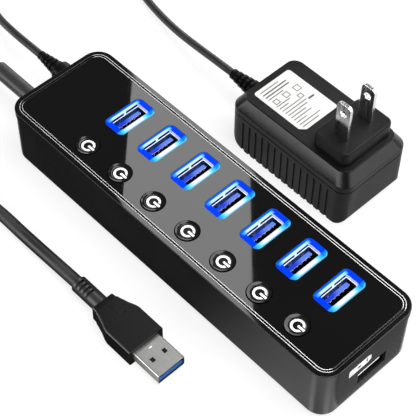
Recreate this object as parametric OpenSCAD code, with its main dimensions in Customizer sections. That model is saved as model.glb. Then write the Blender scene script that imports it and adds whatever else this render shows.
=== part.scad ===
// Powered seven-socket data hub with a switch for each socket, a charging
// socket in its end, a fixed data cable and a plug-in mains supply.
// Millimetres. The origin is under the middle of the case, on the surface
// it stands on. +X points to the charging end, +Y to the row of sockets
// and +Z up.

/* [Case] */
// Distance from the cable end of the case to the first socket
back_room = 35.5; // [34:0.5:42]
// Distance from the last socket to the charging end of the case
front_room = 22.7; // [22.5:0.1:30]
// Width of the case
hub_w = 45.8; // [45:0.2:56]
// Height of the case without its feet
case_h = 25.7; // [24:0.1:32]
// Radius of the upright corners
corner_r = 7.1; // [5:0.1:10]
// Thickness of the side walls
wall = 2; // [1.6:0.1:2.6]
// Thickness of the floor
floor_t = 2; // [1.6:0.1:3]
// Height of the cover's edge
lid_h = 3; // [2.8:0.1:4]
// How far the cover stands out over the case
lid_over = 0.3; // [0.1:0.05:0.6]
// Thickness of the cover's deck under the face plate
deck_t = 1.4; // [1:0.1:2]
// Width of the cover's rim outside the trim
rim_w = 1.85; // [1.4:0.05:3]

/* [Face plate and trim] */
// Thickness of the glossy face plate
plate_t = 1.2; // [0.8:0.1:1.6]
// Width of the bright-edged trim ring round the plate
trim_w = 1.2; // [0.8:0.1:2]
// How far the trim stands above the plate
trim_rise = 0.1; // [0.05:0.05:0.4]

/* [Feet and screws] */
// Diameter of a rubber foot
foot_d = 8; // [6:0.5:9]
// Height that a foot stands below the case
foot_h = 0.8; // [0.4:0.1:2]
// Depth of the recess that holds a foot
foot_sink = 0.5; // [0.3:0.1:1]
// Distance of a foot from the end of the case
foot_end = 6.5; // [5.5:0.5:8]
// Distance of a foot from the side of the hub
foot_side = 7.9; // [7:0.1:10]
// Shank diameter of a case screw
screw_d = 2.2; // [1.8:0.1:2.4]
// Head diameter of a case screw
screw_head_d = 4.4; // [3.6:0.1:4.8]
// Height of a screw head
screw_head_h = 1; // [0.8:0.1:1.2]
// Distance of the back screws from the cable end
screw_back = 20.5; // [20:0.5:27]
// Distance of the front screws from the charging end
screw_front = 14.3; // [13:0.1:17]
// Distance of the screws from the side of the hub
screw_side = 5.9; // [5.4:0.1:7]
// Diameter of the posts that the screws run through
post_d = 5.2; // [4.4:0.1:5.6]

/* [Data sockets] */
// Distance from one socket to the next
port_pitch = 17.8; // [16:0.1:19]
// Distance of the socket row from the middle line
port_y = 7.2; // [4:0.1:10]
// Inner width of a socket
socket_w = 5.12; // [5.02:0.02:5.6]
// Inner length of a socket
socket_l = 12.5; // [12.3:0.05:13]
// Sheet thickness of a socket's shell
shell_t = 0.3; // [0.2:0.05:0.4]
// Thickness of a socket's tongue
tongue_t = 1.84; // [1.6:0.02:2]
// Width of a socket's tongue
tongue_w = 11.1; // [10:0.1:11.9]
// Depth of the tongue's edge below the mouth
tongue_sink = 1; // [0.5:0.1:2]
// Depth of a data socket's mouth below the face plate
mouth_sink = 1.15; // [0.1:0.05:1.6]
// Width of a lit window round a socket
window_w = 10.2; // [9:0.1:11]
// Length of a lit window round a socket
window_l = 18; // [16.8:0.1:19.4]
// Corner radius of a lit window
window_r = 2.4; // [1:0.1:3]

/* [Switch buttons] */
// Diameter of a button's cap
button_d = 8.8; // [7:0.1:9]
// Gap round a cap
button_gap = 0.3; // [0.15:0.05:0.5]
// Distance of the button row from the middle line
button_y = 13.4; // [11.6:0.1:13.8]
// Depth of the dish in a cap
dish_depth = 0.5; // [0.2:0.1:0.7]
// How far a cap stands above the face plate
button_rise = 0.4; // [0:0.1:0.8]
// Travel of a button
button_travel = 1.2; // [0.6:0.1:2.4]
// Diameter of a button's stem
stem_d = 3; // [2:0.1:4.4]

/* [Circuit board] */
// Height of the board's underside above the case floor
board_lift = 4.6; // [3:0.1:6]
// Thickness of the board
board_t = 1.6; // [1:0.1:2]
// Gap between the board and the case walls
board_gap = 1.4; // [1:0.1:2]
// Side of a switch body
switch_side = 8; // [6.5:0.1:9]
// Height of a switch body
switch_h = 8; // [6:0.2:11]

/* [Charging socket] */
// Distance of the charging socket from the middle line
charge_y = 1.2; // [-4:0.1:5]
// Height of the charging socket's middle above the board
charge_rise = 1.1; // [0.2:0.1:2.4]
// Depth of a socket's shell from the end face
charge_depth = 13.8; // [12:0.1:17]
// Gap round the charging socket in the end wall
charge_gap = 0.35; // [0.1:0.05:0.5]

/* [Data cable] */
// Diameter of the data cable
data_d = 5; // [4:0.1:5]
// Diameter of the sleeve at the hub
sleeve_d = 6.7; // [5.8:0.1:8]
// Length of the sleeve outside the hub
sleeve_l = 28; // [20:0.5:32]
// Distance of the data cable from the middle line
cable_y = 7; // [5:0.1:9]
// Height of both cable inlets above the board
inlet_rise = 5; // [4.7:0.1:7]
// Length of the metal shell in front of the grip
plug_l = 13; // [11.5:0.25:14]
// Width of the data plug's grip
grip_w = 15.6; // [14:0.1:17]
// Thickness of the data plug's grip
grip_h = 8; // [7:0.1:9]
// Length of the data plug's grip
grip_l = 23; // [20:0.5:28]
// Length of the data plug's relief
relief_l = 13.5; // [8:0.5:20]

/* [Power inlet] */
// Distance of the power inlet from the middle line
inlet_y = 10; // [8:0.1:12]
// Diameter of the plug's barrel
barrel_d = 5.5; // [4:0.1:6]
// Length of the plug's barrel
barrel_l = 9.5; // [8:0.1:11]
// Diameter of the inlet's centre pin
jack_pin = 2; // [1:0.05:2.4]
// Wall of the inlet's round nose
nose_t = 0.8; // [0.6:0.05:1.2]
// Diameter of the power plug's grip
dc_grip_d = 9; // [8:0.1:11]

/* [Mains supply] */
// Length of the supply's body
supply_l = 60; // [50:1:66]
// Width of the supply's body
supply_w = 35; // [32:1:42]
// Height of the supply's body
supply_h = 26; // [24:0.5:30]
// Corner radius of the supply's body
supply_r = 5; // [3:0.5:6]
// Radius of the supply's lower corner at the cable
supply_back_r = 10; // [6:0.5:10]
// Radius of the supply's lower corner below the blades
supply_front_r = 4; // [2.5:0.5:8]
// Height of the supply's lower shell
supply_split = 18; // [16:0.5:20]
// Wall thickness of the supply's shells
supply_wall = 2; // [1.6:0.1:2.4]
// Height of the block that carries the blades
block_h = 7; // [4:0.5:9]
// Length of a blade above the block
blade_l = 16.5; // [14:0.5:19]
// Width of a blade
blade_w = 6.35; // [5.5:0.05:8]
// Thickness of a blade
blade_t = 1.5; // [1.2:0.05:2]
// Distance between the two blades' middles
blade_gap = 12.7; // [11:0.1:15]
// Diameter of the power cable
power_d = 3.2; // [2.6:0.1:3.2]

/* [Hidden] */
$fn = 48;
EPS = 0.01;
FIT = 0.15;

port_count = 7;
hub_l = back_room + (port_count - 1) * port_pitch + front_room;
end_x = hub_l / 2;
port_x1 = back_room - end_x;
screw_y = hub_w / 2 - screw_side;
foot_y = hub_w / 2 - foot_side;
case_l = hub_l - 2 * lid_over;
case_w = hub_w - 2 * lid_over;
case_r = corner_r - lid_over;
back_x = -case_l / 2;
front_x = case_l / 2;
inner_l = case_l - 2 * wall;
inner_w = case_w - 2 * wall;
inner_r = case_r - wall;

case_z = foot_h;
floor_z = case_z + floor_t;
top_z = foot_h + case_h;
part_z = top_z - lid_h;
plate_z = top_z - plate_t;
deck_z = plate_z - deck_t;
lip_top = max(deck_z, part_z) + EPS;
board_z = floor_z + board_lift;
board_top = board_z + board_t;

tray_l = hub_l - 2 * rim_w;
tray_w = hub_w - 2 * rim_w;
tray_r = corner_r - rim_w;
plate_l = tray_l - 2 * trim_w;
plate_w = tray_w - 2 * trim_w;
plate_r = tray_r - trim_w;

shell_w = socket_w + 2 * shell_t;
shell_l = socket_l + 2 * shell_t;
mouth_z = top_z - mouth_sink;
tongue_x = -0.9;
tongue_base = 3;
shell_fit = 0.1;
guide_w = 4;
guide_t = 1.2;
guide_y = shell_l / 2 + shell_fit + 0.35 + guide_t / 2;
led_h = 0.8;
chip_w = 6.5;
chip_y = -4.7;
chip_h = 1;
board_can_d = 5;
board_can_h = 6;
led_gap = 0.6;

cap_hole = button_d + 2 * button_gap;
flange_d = cap_hole + 1.2;
flange_t = 1;
flange_gap = 0.3;
flange_z = deck_z - flange_gap - flange_t;
switch_top = board_top + switch_h;
stem_in = 1.8;
stem_fit = 0.2;

screw_fit = 0.2;
post_top = board_z;
boss_bore = screw_d - 0.1;
screw_bite = 6;
screw_tip = board_top + screw_bite;
lip_t = 1.2;
lip_h = 2;

charge_z = board_top + charge_rise;
charge_back = front_x - 0.4 - charge_depth;
notch_gap = 0.6;
tab_w = 2.4;
tab_l = 4;
tab_t = 0.4;

inlet_z = board_top + inlet_rise;
jack_w = 9;
jack_l = 14;
jack_h = inlet_rise + jack_w / 2;
barrel_fit = 0.15;
pin_fit = 0.25;
barrel_bore = jack_pin + 2 * pin_fit;
jack_bore = barrel_d + 2 * barrel_fit;
jack_depth = barrel_l + 1.9;
nose_d = jack_bore + 2 * nose_t;
nose_fit = 0.1;
sleeve_end = back_x - sleeve_l;
sleeve_neck = sleeve_d - 0.5;
sleeve_flange = sleeve_d + 2.4;

plug_side_fit = 0.25;
plug_face_fit = 0.31;
plug_w = socket_l - 2 * plug_side_fit;
plug_h = socket_w - 2 * plug_face_fit;
plug_in = 6;
plug_tip = [34, -46.5, 4];
plug_relief_end = plug_tip[0] - plug_l - grip_l - relief_l;
plug_sheet = 0.3;
insulator_t = 1.9;
insulator_sink = 0.4;

dc_gap = 0.5;
dc_grip_l = 10;
dc_relief_l = 11.7;
dc_grip_x = back_x - dc_gap;
barrel_in = 5;
dc_relief_end = dc_grip_x - dc_grip_l - dc_relief_l;

supply_mid = [0, 60];
supply_inset = 3;
block_l = 17;
block_w = 26;
block_end = 5;
block_x = supply_mid[0] + supply_l / 2 - block_end - block_l / 2;
blade_root = 6;
hole_d = 3.2;
hole_drop = 4.5;
rib_count = 14;
rib_pitch = 3.4;
rib_cut = 1.2;
supply_inlet_z = 12.5;
supply_hole_d = 5;
supply_relief_l = 16;
supply_relief_end = supply_mid[0] - supply_l / 2 - supply_relief_l;
supply_gap = 1;
supply_post_h = 3;
supply_post_d = 4;
supply_post_x = 16;
supply_post_y = 8;
supply_board_z = supply_wall + supply_post_h;
label_edge = 3;
label_gap = 6;
label_l = supply_l - block_end - block_l - supply_inset - label_edge - label_gap;
label_w = 19;
label_t = 0.2;

// The data cable from the hub's sleeve to its coil
data_hub_route = [
    [sleeve_end, -cable_y, inlet_z], [-120, -7.5, 12.6], [-130, -10, 9.4], [-139, -13.5, 6],
    [-147, -17, 3.6], [-155.4, -19.4, 3]
];
// The data cable from its coil to the data plug
data_plug_route = [
    [-150, -81.1, 8.2], [-140, -81, 8], [-130, -79.5, 6], [-120, -75.5, 3.8],
    [-111, -69.5, 2.5], [-102, -62.5, 2.5], [-93, -55.5, 2.5], [-83, -50, 2.5],
    [-72, -47.5, 2.5], [-60, -46.5, 2.5], [-48, -46.5, 2.6], [-36, -46.5, 3],
    [-25, -46.5, 3.6], [plug_relief_end, plug_tip[1], plug_tip[2]]
];
// The power cable from the hub to its coil
power_hub_route = [
    [dc_relief_end, inlet_y, inlet_z], [-112, 10.2, 13.5], [-120, 11, 12], [-128, 12.5, 9.6],
    [-136, 14.4, 6.9], [-144, 16.8, 4.5], [-152, 19.8, 2.9], [-160, 23.2, 2.1],
    [-169, 26.2, 2.1], [-178, 27, 2.1]
];
// The power cable from its coil to the supply
power_supply_route = [
    [-178, 77, 5.4], [-169, 77, 5.3], [-160, 77, 4.2], [-152, 76.9, 2.7],
    [-144, 76.6, 1.6], [-136, 76, 1.6], [-128, 74.8, 1.6], [-120, 73, 1.6],
    [-112, 71, 1.9], [-104, 68.8, 2.7], [-96, 66.7, 4], [-88, 64.8, 5.6],
    [-80, 63.2, 7.3], [-72, 62, 9], [-64, 61, 10.6], [-55, 60.3, 11.9],
    [supply_relief_end, supply_mid[1], supply_inlet_z]
];
// Middles, mean radii and layers of the two coils
data_coil_mid = [-150, -50];
data_coil_r = 25.9;
data_coil_pitch = 5.2;
data_coil_cols = 3;
power_coil_mid = [-178, 52];
power_coil_r = 20.05;
power_coil_pitch = 3.3;
power_coil_cols = 4;
coil_rows = 2;
coil_lift = 0.5;
tie_t = 0.5;
tie_w = 8;
cord_sides = 8;

function port_x(i) = port_x1 + (i - 1) * port_pitch;
function unit(v) = v / norm(v);

// A rectangle with round corners, about the origin
module rounded(l, w, r) {
    square([l - 2 * r, w], center = true);
    square([l, w - 2 * r], center = true);
    for (sx = [-1, 1], sy = [-1, 1])
        translate([sx * (l / 2 - r), sy * (w / 2 - r)]) circle(r);
}

module slab(l, w, r, z, h) {
    translate([0, 0, z]) linear_extrude(h) rounded(l, w, r);
}

// What is given to these is repeated at each socket, button, screw or foot
module at_ports() {
    for (i = [1:port_count]) translate([port_x(i), port_y, 0]) children();
}

module at_buttons() {
    for (i = [1:port_count]) translate([port_x(i), -button_y, 0]) children();
}

module at_screws() {
    for (x = [screw_back - end_x, end_x - screw_front], y = [-screw_y, screw_y])
        translate([x, y, 0]) children();
}

module at_feet() {
    for (x = [foot_end - end_x, end_x - foot_end], y = [-foot_y, foot_y])
        translate([x, y, 0]) children();
}

module lying(x, y, z) {
    translate([x, y, z]) rotate([0, 90, 0]) children();
}

// A cord as one closed tube through the points of a route
function tangent(p, i) =
    unit(p[min(i + 1, len(p) - 1)] - p[max(i - 1, 0)]);
function side(t) = unit(cross(t, [0, 0, 1]));
function ring(c, t, r) = [
    for (k = [0:cord_sides - 1])
        let (a = 360 * k / cord_sides)
        c + r * (cos(a) * side(t) + sin(a) * cross(side(t), t))
];

module tube(route, d) {
    last = len(route) - 1;
    points = [for (i = [0:last]) each ring(route[i], tangent(route, i), d / 2)];
    walls = [
        for (i = [0:last - 1], k = [0:cord_sides - 1])
            let (a = i * cord_sides, n = (k + 1) % cord_sides)
            [a + k, a + cord_sides + k, a + cord_sides + n, a + n]
    ];
    first_cap = [[for (k = [0:cord_sides - 1]) k]];
    last_cap = [[for (k = [cord_sides - 1:-1:0]) last * cord_sides + k]];
    polyhedron(points, concat(walls, first_cap, last_cap), convexity = 10);
}

module coil_solid(mid, r, pitch, cols, d) {
    width = (cols - 1) * pitch + d;
    translate([mid[0], mid[1], coil_lift])
        rotate_extrude()
            translate([r - width / 2, 0])
                square([width, (coil_rows - 1) * pitch + d]);
}

module coil_tie(mid, r, pitch, cols, d) {
    width = (cols - 1) * pitch + d + 2 * tie_t;
    height = (coil_rows - 1) * pitch + d + coil_lift + tie_t;
    difference() {
        translate([mid[0] - r - width / 2, mid[1] - tie_w / 2, 0])
            cube([width, tie_w, height]);
        coil_solid(mid, r, pitch, cols, d);
    }
}

module bottom_case() {
    color("#1b1b1c") difference() {
        union() {
            difference() {
                slab(case_l, case_w, case_r, case_z, part_z - case_z);
                slab(inner_l, inner_w, inner_r, floor_z, case_h);
            }
            at_screws() translate([0, 0, floor_z - EPS])
                cylinder(d = post_d, h = post_top - floor_z + EPS);
        }
        at_screws() translate([0, 0, case_z - EPS]) {
            cylinder(d = screw_d + screw_fit, h = case_h);
            cylinder(d = screw_head_d + screw_fit, h = screw_head_h + EPS);
        }
        at_feet() translate([0, 0, case_z - EPS])
            cylinder(d = foot_d + FIT, h = foot_sink + EPS);
        lying(back_x - 1, -cable_y, inlet_z) cylinder(d = sleeve_neck, h = wall + 2);
        lying(back_x - 1, inlet_y, inlet_z)
            cylinder(d = nose_d + 2 * nose_fit, h = wall + 2);
        translate([front_x - wall - 1, charge_y - shell_l / 2 - charge_gap,
                charge_z - shell_w / 2 - charge_gap])
            cube([wall + 2, shell_l + 2 * charge_gap, shell_w + 2 * charge_gap]);
    }
}

module top_cover() {
    color("#141415") difference() {
        union() {
            difference() {
                slab(hub_l, hub_w, corner_r, part_z, lid_h);
                slab(tray_l, tray_w, tray_r, plate_z, lid_h);
                slab(inner_l - 2 * FIT, inner_w - 2 * FIT, inner_r - FIT,
                    part_z - 1, deck_z - part_z + 1);
            }
            difference() {
                slab(inner_l - 2 * FIT, inner_w - 2 * FIT, inner_r - FIT,
                    part_z - lip_h, lip_top - part_z + lip_h);
                slab(inner_l - 2 * FIT - 2 * lip_t, inner_w - 2 * FIT - 2 * lip_t,
                    inner_r - FIT - lip_t, part_z - lip_h - 1, deck_z - part_z + lip_h + 1);
            }
            at_screws() translate([0, 0, board_top])
                cylinder(d = post_d, h = deck_z - board_top + EPS);
        }
        at_screws() translate([0, 0, board_top - EPS])
            cylinder(d = boss_bore, h = screw_tip - board_top + 1);
        at_ports() {
            slab(shell_w + 2 * shell_fit, shell_l + 2 * shell_fit, shell_fit,
                deck_z - 1, lid_h + 1);
            for (sy = [-1, 1]) translate([0, sy * guide_y, deck_z - 1])
                linear_extrude(lid_h)
                    square([guide_w + FIT, guide_t + FIT], center = true);
        }
        at_buttons() translate([0, 0, deck_z - 1]) cylinder(d = cap_hole, h = lid_h + 2);
    }
}

module face_plate() {
    color("#0d0d0e") difference() {
        slab(plate_l, plate_w, plate_r, plate_z, plate_t);
        at_ports() slab(window_w, window_l, window_r, plate_z - 1, plate_t + 2);
        at_buttons() translate([0, 0, plate_z - 1]) cylinder(d = cap_hole, h = plate_t + 2);
    }
}

module trim_ring() {
    color("#c8c8c8") difference() {
        slab(tray_l, tray_w, tray_r, plate_z, plate_t + trim_rise);
        slab(plate_l, plate_w, plate_r, plate_z - 1, plate_t + 3);
    }
}

module rubber_feet() {
    color("#202020") at_feet() cylinder(d = foot_d, h = foot_h + foot_sink);
}

module case_screws() {
    color("#8a8a8c") at_screws() translate([0, 0, case_z]) {
        cylinder(d = screw_head_d, h = screw_head_h);
        cylinder(d = screw_d - FIT, h = screw_tip - case_z);
    }
}

module main_board() {
    notch_w = shell_l + 2 * notch_gap;
    color("#12512f") difference() {
        slab(inner_l - 2 * board_gap, inner_w - 2 * board_gap, 2, board_z, board_t);
        at_screws() translate([0, 0, board_z - 1]) cylinder(d = screw_d + screw_fit, h = 4);
        translate([charge_back - notch_gap, charge_y - notch_w / 2, board_z - 1])
            cube([hub_l / 2, notch_w, board_t + 2]);
    }
}

module socket_shell(depth) {
    linear_extrude(depth) difference() {
        square([shell_w, shell_l], center = true);
        square([socket_w, socket_l], center = true);
    }
}

module port_shell(i) {
    color("#c4c6c8") translate([port_x(i), port_y, board_top])
        socket_shell(mouth_z - board_top);
}

// A socket's moulded base with the tongue that stands on it
module socket_tongue(depth) {
    translate([-socket_w / 2 + shell_fit, -socket_l / 2 + shell_fit, 0])
        cube([socket_w - 2 * shell_fit, socket_l - 2 * shell_fit, tongue_base]);
    translate([tongue_x - tongue_t / 2, -tongue_w / 2, 0])
        cube([tongue_t, tongue_w, depth - tongue_sink]);
}

module port_tongues() {
    color("#1f54d8") at_ports() translate([0, 0, board_top])
        socket_tongue(mouth_z - board_top);
}

// The contact strips on the open side of a tongue
module socket_contacts(depth) {
    strip_w = 0.7;
    strip_t = 0.15;
    strip_pitch = 2.1;
    for (k = [-2:2])
        translate([tongue_x + tongue_t / 2, k * strip_pitch - strip_w / 2, tongue_base])
            cube([strip_t, strip_w, depth - tongue_sink - tongue_base - 0.4]);
}

module port_contacts() {
    color("#d9b65c") at_ports() translate([0, 0, board_top])
        socket_contacts(mouth_z - board_top);
}

module light_window(i) {
    color("#2e6bff") translate([port_x(i), port_y, 0]) {
        difference() {
            slab(window_w - 2 * shell_fit, window_l - 2 * shell_fit,
                window_r - shell_fit, plate_z, plate_t);
            slab(shell_w + 2 * shell_fit, shell_l + 2 * shell_fit, shell_fit,
                plate_z - 1, plate_t + 2);
        }
        guide_z = board_top + led_h + led_gap;
        for (sy = [-1, 1]) translate([0, sy * guide_y, guide_z])
            linear_extrude(plate_z - guide_z + EPS)
                square([guide_w, guide_t], center = true);
    }
}

module power_button(i) {
    cap_top = top_z + button_rise;
    edge = 0.6;
    dish_r = button_d / 2 - edge;
    color("#161617") translate([port_x(i), -button_y, 0]) {
        rotate_extrude() polygon([
            [0, flange_z],
            [flange_d / 2, flange_z],
            [flange_d / 2, flange_z + flange_t],
            [button_d / 2, flange_z + flange_t],
            [button_d / 2, cap_top - edge / 2],
            [button_d / 2 - edge / 2, cap_top],
            [dish_r, cap_top],
            [dish_r * 0.75, cap_top - dish_depth * 0.5],
            [dish_r * 0.4, cap_top - dish_depth * 0.85],
            [0, cap_top - dish_depth]
        ]);
        translate([0, 0, switch_top - stem_in])
            cylinder(d = stem_d, h = flange_z - switch_top + stem_in + EPS);
    }
}

module switch_bodies() {
    color("#3a3a3c") at_buttons() difference() {
        translate([-switch_side / 2, -switch_side / 2, board_top])
            cube([switch_side, switch_side, switch_h]);
        translate([0, 0, switch_top - stem_in - button_travel - 0.5])
            cylinder(d = stem_d + 2 * stem_fit, h = switch_h);
    }
}

module indicator_leds() {
    color("#f4f6ff") at_ports() for (sy = [-1, 1])
        translate([-guide_w / 2 + 0.5, sy * guide_y - guide_t / 2, board_top])
            cube([guide_w - 1, guide_t, led_h]);
}

module board_chips() {
    color("#1c1c1e") for (k = [1.5, 4.5])
        translate([port_x1 + k * port_pitch - chip_w / 2, chip_y - chip_w / 2, board_top])
            cube([chip_w, chip_w, chip_h]);
    color("#34404a") for (k = [2.5, 3.5])
        translate([port_x1 + k * port_pitch, chip_y, board_top])
            cylinder(d = board_can_d, h = board_can_h);
}

module dc_jack() {
    nose_l = wall + FIT;
    inner_x = back_x + wall + FIT;
    color("#1a1a1a") {
        difference() {
            union() {
                translate([inner_x, inlet_y - jack_w / 2, board_top])
                    cube([jack_l, jack_w, jack_h]);
                lying(back_x, inlet_y, inlet_z) cylinder(d = nose_d, h = nose_l + EPS);
            }
            lying(back_x - 1, inlet_y, inlet_z) cylinder(d = jack_bore, h = jack_depth + 1);
        }
        lying(back_x + 1.5, inlet_y, inlet_z) cylinder(d = jack_pin, h = jack_depth);
    }
}

module charge_port_shell() {
    color("#c4c6c8") {
        lying(charge_back, charge_y, charge_z) socket_shell(charge_depth);
        for (sy = [-1, 1])
            translate([charge_back + 4, charge_y + sy * (shell_l + tab_w) / 2 - tab_w / 2,
                    board_top])
                cube([tab_l, tab_w, tab_t]);
    }
}

module charge_port_tongue() {
    color("#e8e8e6") lying(charge_back, charge_y, charge_z) socket_tongue(charge_depth);
}

module data_sleeve() {
    flange_in = 1.2;
    color("#232324") {
        lying(sleeve_end, -cable_y, inlet_z) cylinder(d = sleeve_d, h = sleeve_l);
        lying(back_x - EPS, -cable_y, inlet_z)
            cylinder(d = sleeve_neck - 2 * EPS, h = wall + 2 * EPS);
        lying(back_x + wall, -cable_y, inlet_z) cylinder(d = sleeve_flange, h = flange_in);
    }
}

module data_cable_hub_side() {
    color("#2a2a2b") tube(data_hub_route, data_d);
}

module data_cable_coil() {
    color("#2a2a2b") coil_solid(data_coil_mid, data_coil_r, data_coil_pitch,
        data_coil_cols, data_d);
}

module data_cable_plug_side() {
    color("#2a2a2b") tube(data_plug_route, data_d);
}

module data_coil_tie() {
    color("#101010") coil_tie(data_coil_mid, data_coil_r, data_coil_pitch,
        data_coil_cols, data_d);
}

module data_plug_grip() {
    neck_w = 9.4;
    relief_w = 6.6;
    shoulder = 12;
    taper = grip_l - shoulder;
    front = plug_tip[0] - plug_l;
    back = front - grip_l;
    // How far the waist has gone, and the width that is left there
    waist = [[0, 1], [0.25, 0.74], [0.5, 0.42], [0.8, 0.12], [1, 0]];
    side = [for (p = waist)
        [front - shoulder - taper * p[0], (neck_w + (grip_w - neck_w) * p[1]) / 2]];
    color("#1f1f20") translate([0, plug_tip[1], 0]) difference() {
        union() {
            translate([0, 0, plug_tip[2] - grip_h / 2]) linear_extrude(grip_h) polygon(concat(
                [[front, -grip_w / 2], [front, grip_w / 2]],
                side,
                [for (k = [len(side) - 1:-1:0]) [side[k][0], -side[k][1]]]
            ));
            lying(back - relief_l, 0, plug_tip[2]) cylinder(d = relief_w, h = relief_l + 1);
        }
        lying(front - plug_in, 0, plug_tip[2]) linear_extrude(plug_in + 1)
            square([plug_h, plug_w], center = true);
    }
}

module data_plug_shell() {
    color("#b9bbbd") translate([plug_tip[0] - plug_l - plug_in, plug_tip[1], plug_tip[2]])
        rotate([0, 90, 0]) linear_extrude(plug_l + plug_in) difference() {
            square([plug_h, plug_w], center = true);
            square([plug_h - 2 * plug_sheet, plug_w - 2 * plug_sheet], center = true);
        }
}

module data_plug_insulator() {
    inner_w = plug_w - 2 * plug_sheet;
    back = plug_tip[0] - plug_l - plug_in;
    color("#2f6fd0") translate([back, plug_tip[1] - inner_w / 2,
            plug_tip[2] - plug_h / 2 + plug_sheet])
        cube([plug_l + plug_in - insulator_sink, inner_w, insulator_t]);
}

module dc_plug_grip() {
    groove = 0.8;
    ribs = 5;
    rib_step = dc_relief_l / ribs;
    relief_d = 6.4;
    color("#1f1f20") difference() {
        union() {
            lying(dc_grip_x - dc_grip_l, inlet_y, inlet_z)
                cylinder(d = dc_grip_d, h = dc_grip_l);
            for (k = [0:ribs - 1])
                lying(dc_relief_end + k * rib_step, inlet_y, inlet_z)
                    cylinder(d = power_d + 0.6 + (relief_d - power_d - 0.6) * k / (ribs - 1),
                        h = rib_step - groove);
            lying(dc_relief_end, inlet_y, inlet_z) cylinder(d = power_d + 0.4, h = dc_relief_l);
        }
        lying(dc_grip_x - barrel_in, inlet_y, inlet_z) cylinder(d = barrel_d, h = barrel_in + 1);
    }
}

module dc_plug_barrel() {
    color("#c9cacc") difference() {
        lying(dc_grip_x - barrel_in, inlet_y, inlet_z)
            cylinder(d = barrel_d, h = barrel_in + dc_gap + barrel_l);
        lying(dc_grip_x - barrel_in + 1, inlet_y, inlet_z)
            cylinder(d = barrel_bore, h = barrel_l + barrel_in + 1);
    }
}

module power_cable_hub_side() {
    color("#2a2a2b") tube(power_hub_route, power_d);
}

module power_cable_coil() {
    color("#2a2a2b") coil_solid(power_coil_mid, power_coil_r, power_coil_pitch,
        power_coil_cols, power_d);
}

module power_cable_supply_side() {
    color("#2a2a2b") tube(power_supply_route, power_d);
}

module power_coil_tie() {
    color("#101010") coil_tie(power_coil_mid, power_coil_r, power_coil_pitch,
        power_coil_cols, power_d);
}

module supply_slab(inset, z, h) {
    translate([supply_mid[0], supply_mid[1], 0])
        slab(supply_l - 2 * inset, supply_w - 2 * inset,
            max(supply_r - inset / 2, 0.5), z, h);
}

// The supply seen from its long side, with its lower corners rounded
module supply_side(inset) {
    end = supply_l / 2;
    translate([supply_mid[0], supply_mid[1] + supply_w, 0])
        rotate([90, 0, 0]) linear_extrude(2 * supply_w) {
            translate([supply_back_r - end, inset])
                square([supply_l - supply_back_r - supply_front_r, supply_h]);
            translate([inset - end, supply_back_r]) square([supply_back_r, supply_h]);
            translate([end - inset - supply_front_r, supply_front_r])
                square([supply_front_r, supply_h]);
            translate([supply_back_r - end, supply_back_r])
                circle(supply_back_r - inset);
            translate([end - supply_front_r, supply_front_r])
                circle(supply_front_r - inset);
        }
}

module supply_lower_shell() {
    color("#242426") difference() {
        intersection() {
            supply_slab(0, 0, supply_split);
            supply_side(0);
        }
        difference() {
            intersection() {
                supply_slab(supply_inset + supply_wall, supply_wall, supply_split);
                supply_side(supply_wall);
            }
            for (sx = [-1, 1], sy = [-1, 1])
                translate([supply_mid[0] + sx * supply_post_x, supply_mid[1] + sy * supply_post_y, 0])
                    cylinder(d = supply_post_d, h = supply_board_z);
        }
        for (k = [0:rib_count - 1], sy = [-1, 1])
            translate([supply_mid[0] + (k - (rib_count - 1) / 2) * rib_pitch - rib_cut / 2,
                    supply_mid[1] + sy * supply_w / 2 - 0.4, -1])
                cube([rib_cut, 0.8, supply_split - 1]);
        lying(supply_mid[0] - supply_l / 2 - 1, supply_mid[1], supply_inlet_z)
            cylinder(d = supply_hole_d, h = supply_wall + supply_inset + 2);
    }
}

module supply_upper_shell() {
    color("#2a2a2c") difference() {
        union() {
            hull() {
                supply_slab(0, supply_split, 3);
                supply_slab(supply_inset, supply_h - 0.5, 0.5);
            }
            translate([block_x, supply_mid[1], 0])
                slab(block_l, block_w, 3, supply_h - 1, block_h + 1);
        }
        supply_slab(supply_inset + supply_wall, supply_split - 1,
            supply_h - supply_wall - supply_split + 1);
        for (sy = [-1, 1])
            translate([block_x - blade_w / 2, supply_mid[1] + sy * blade_gap / 2 - blade_t / 2,
                    supply_h + block_h - blade_root])
                cube([blade_w, blade_t, blade_root + 1]);
    }
}

module supply_blades() {
    tip = supply_h + block_h + blade_l;
    color("#c9cacc") for (sy = [-1, 1])
        translate([block_x, supply_mid[1] + sy * blade_gap / 2, 0]) difference() {
            translate([-blade_w / 2, -blade_t / 2, supply_h + block_h - blade_root])
                cube([blade_w, blade_t, blade_l + blade_root]);
            translate([0, blade_t, tip - hole_drop]) rotate([90, 0, 0])
                cylinder(d = hole_d, h = 2 * blade_t);
        }
}

module supply_relief() {
    collar_d = 9;
    collar_l = 3;
    ribs = 5;
    rib_step = (supply_relief_l - collar_l) / ribs;
    start = supply_mid[0] - supply_l / 2;
    color("#1c1c1d") {
        for (k = [0:ribs - 1])
            lying(start - supply_relief_l + k * rib_step, supply_mid[1], supply_inlet_z)
                cylinder(d = power_d + 1.2 + 0.7 * k, h = rib_step - 0.8);
        lying(start - supply_relief_l, supply_mid[1], supply_inlet_z)
            cylinder(d = power_d + 0.6, h = supply_relief_l);
        lying(start - collar_l, supply_mid[1], supply_inlet_z)
            cylinder(d = collar_d, h = collar_l);
        lying(start - EPS, supply_mid[1], supply_inlet_z)
            cylinder(d = supply_hole_d - 2 * EPS, h = supply_wall + supply_inset);
    }
}

module supply_label() {
    label_x = block_x - block_l / 2 - label_gap - label_l / 2;
    color("#f2f2f0") translate([label_x, supply_mid[1] - 1.5, 0])
        slab(label_l, label_w, 1.2, supply_h, label_t);
}

module supply_board() {
    color("#b98a4a") supply_slab(supply_inset + supply_wall + supply_gap,
        supply_board_z, board_t);
}

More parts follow.
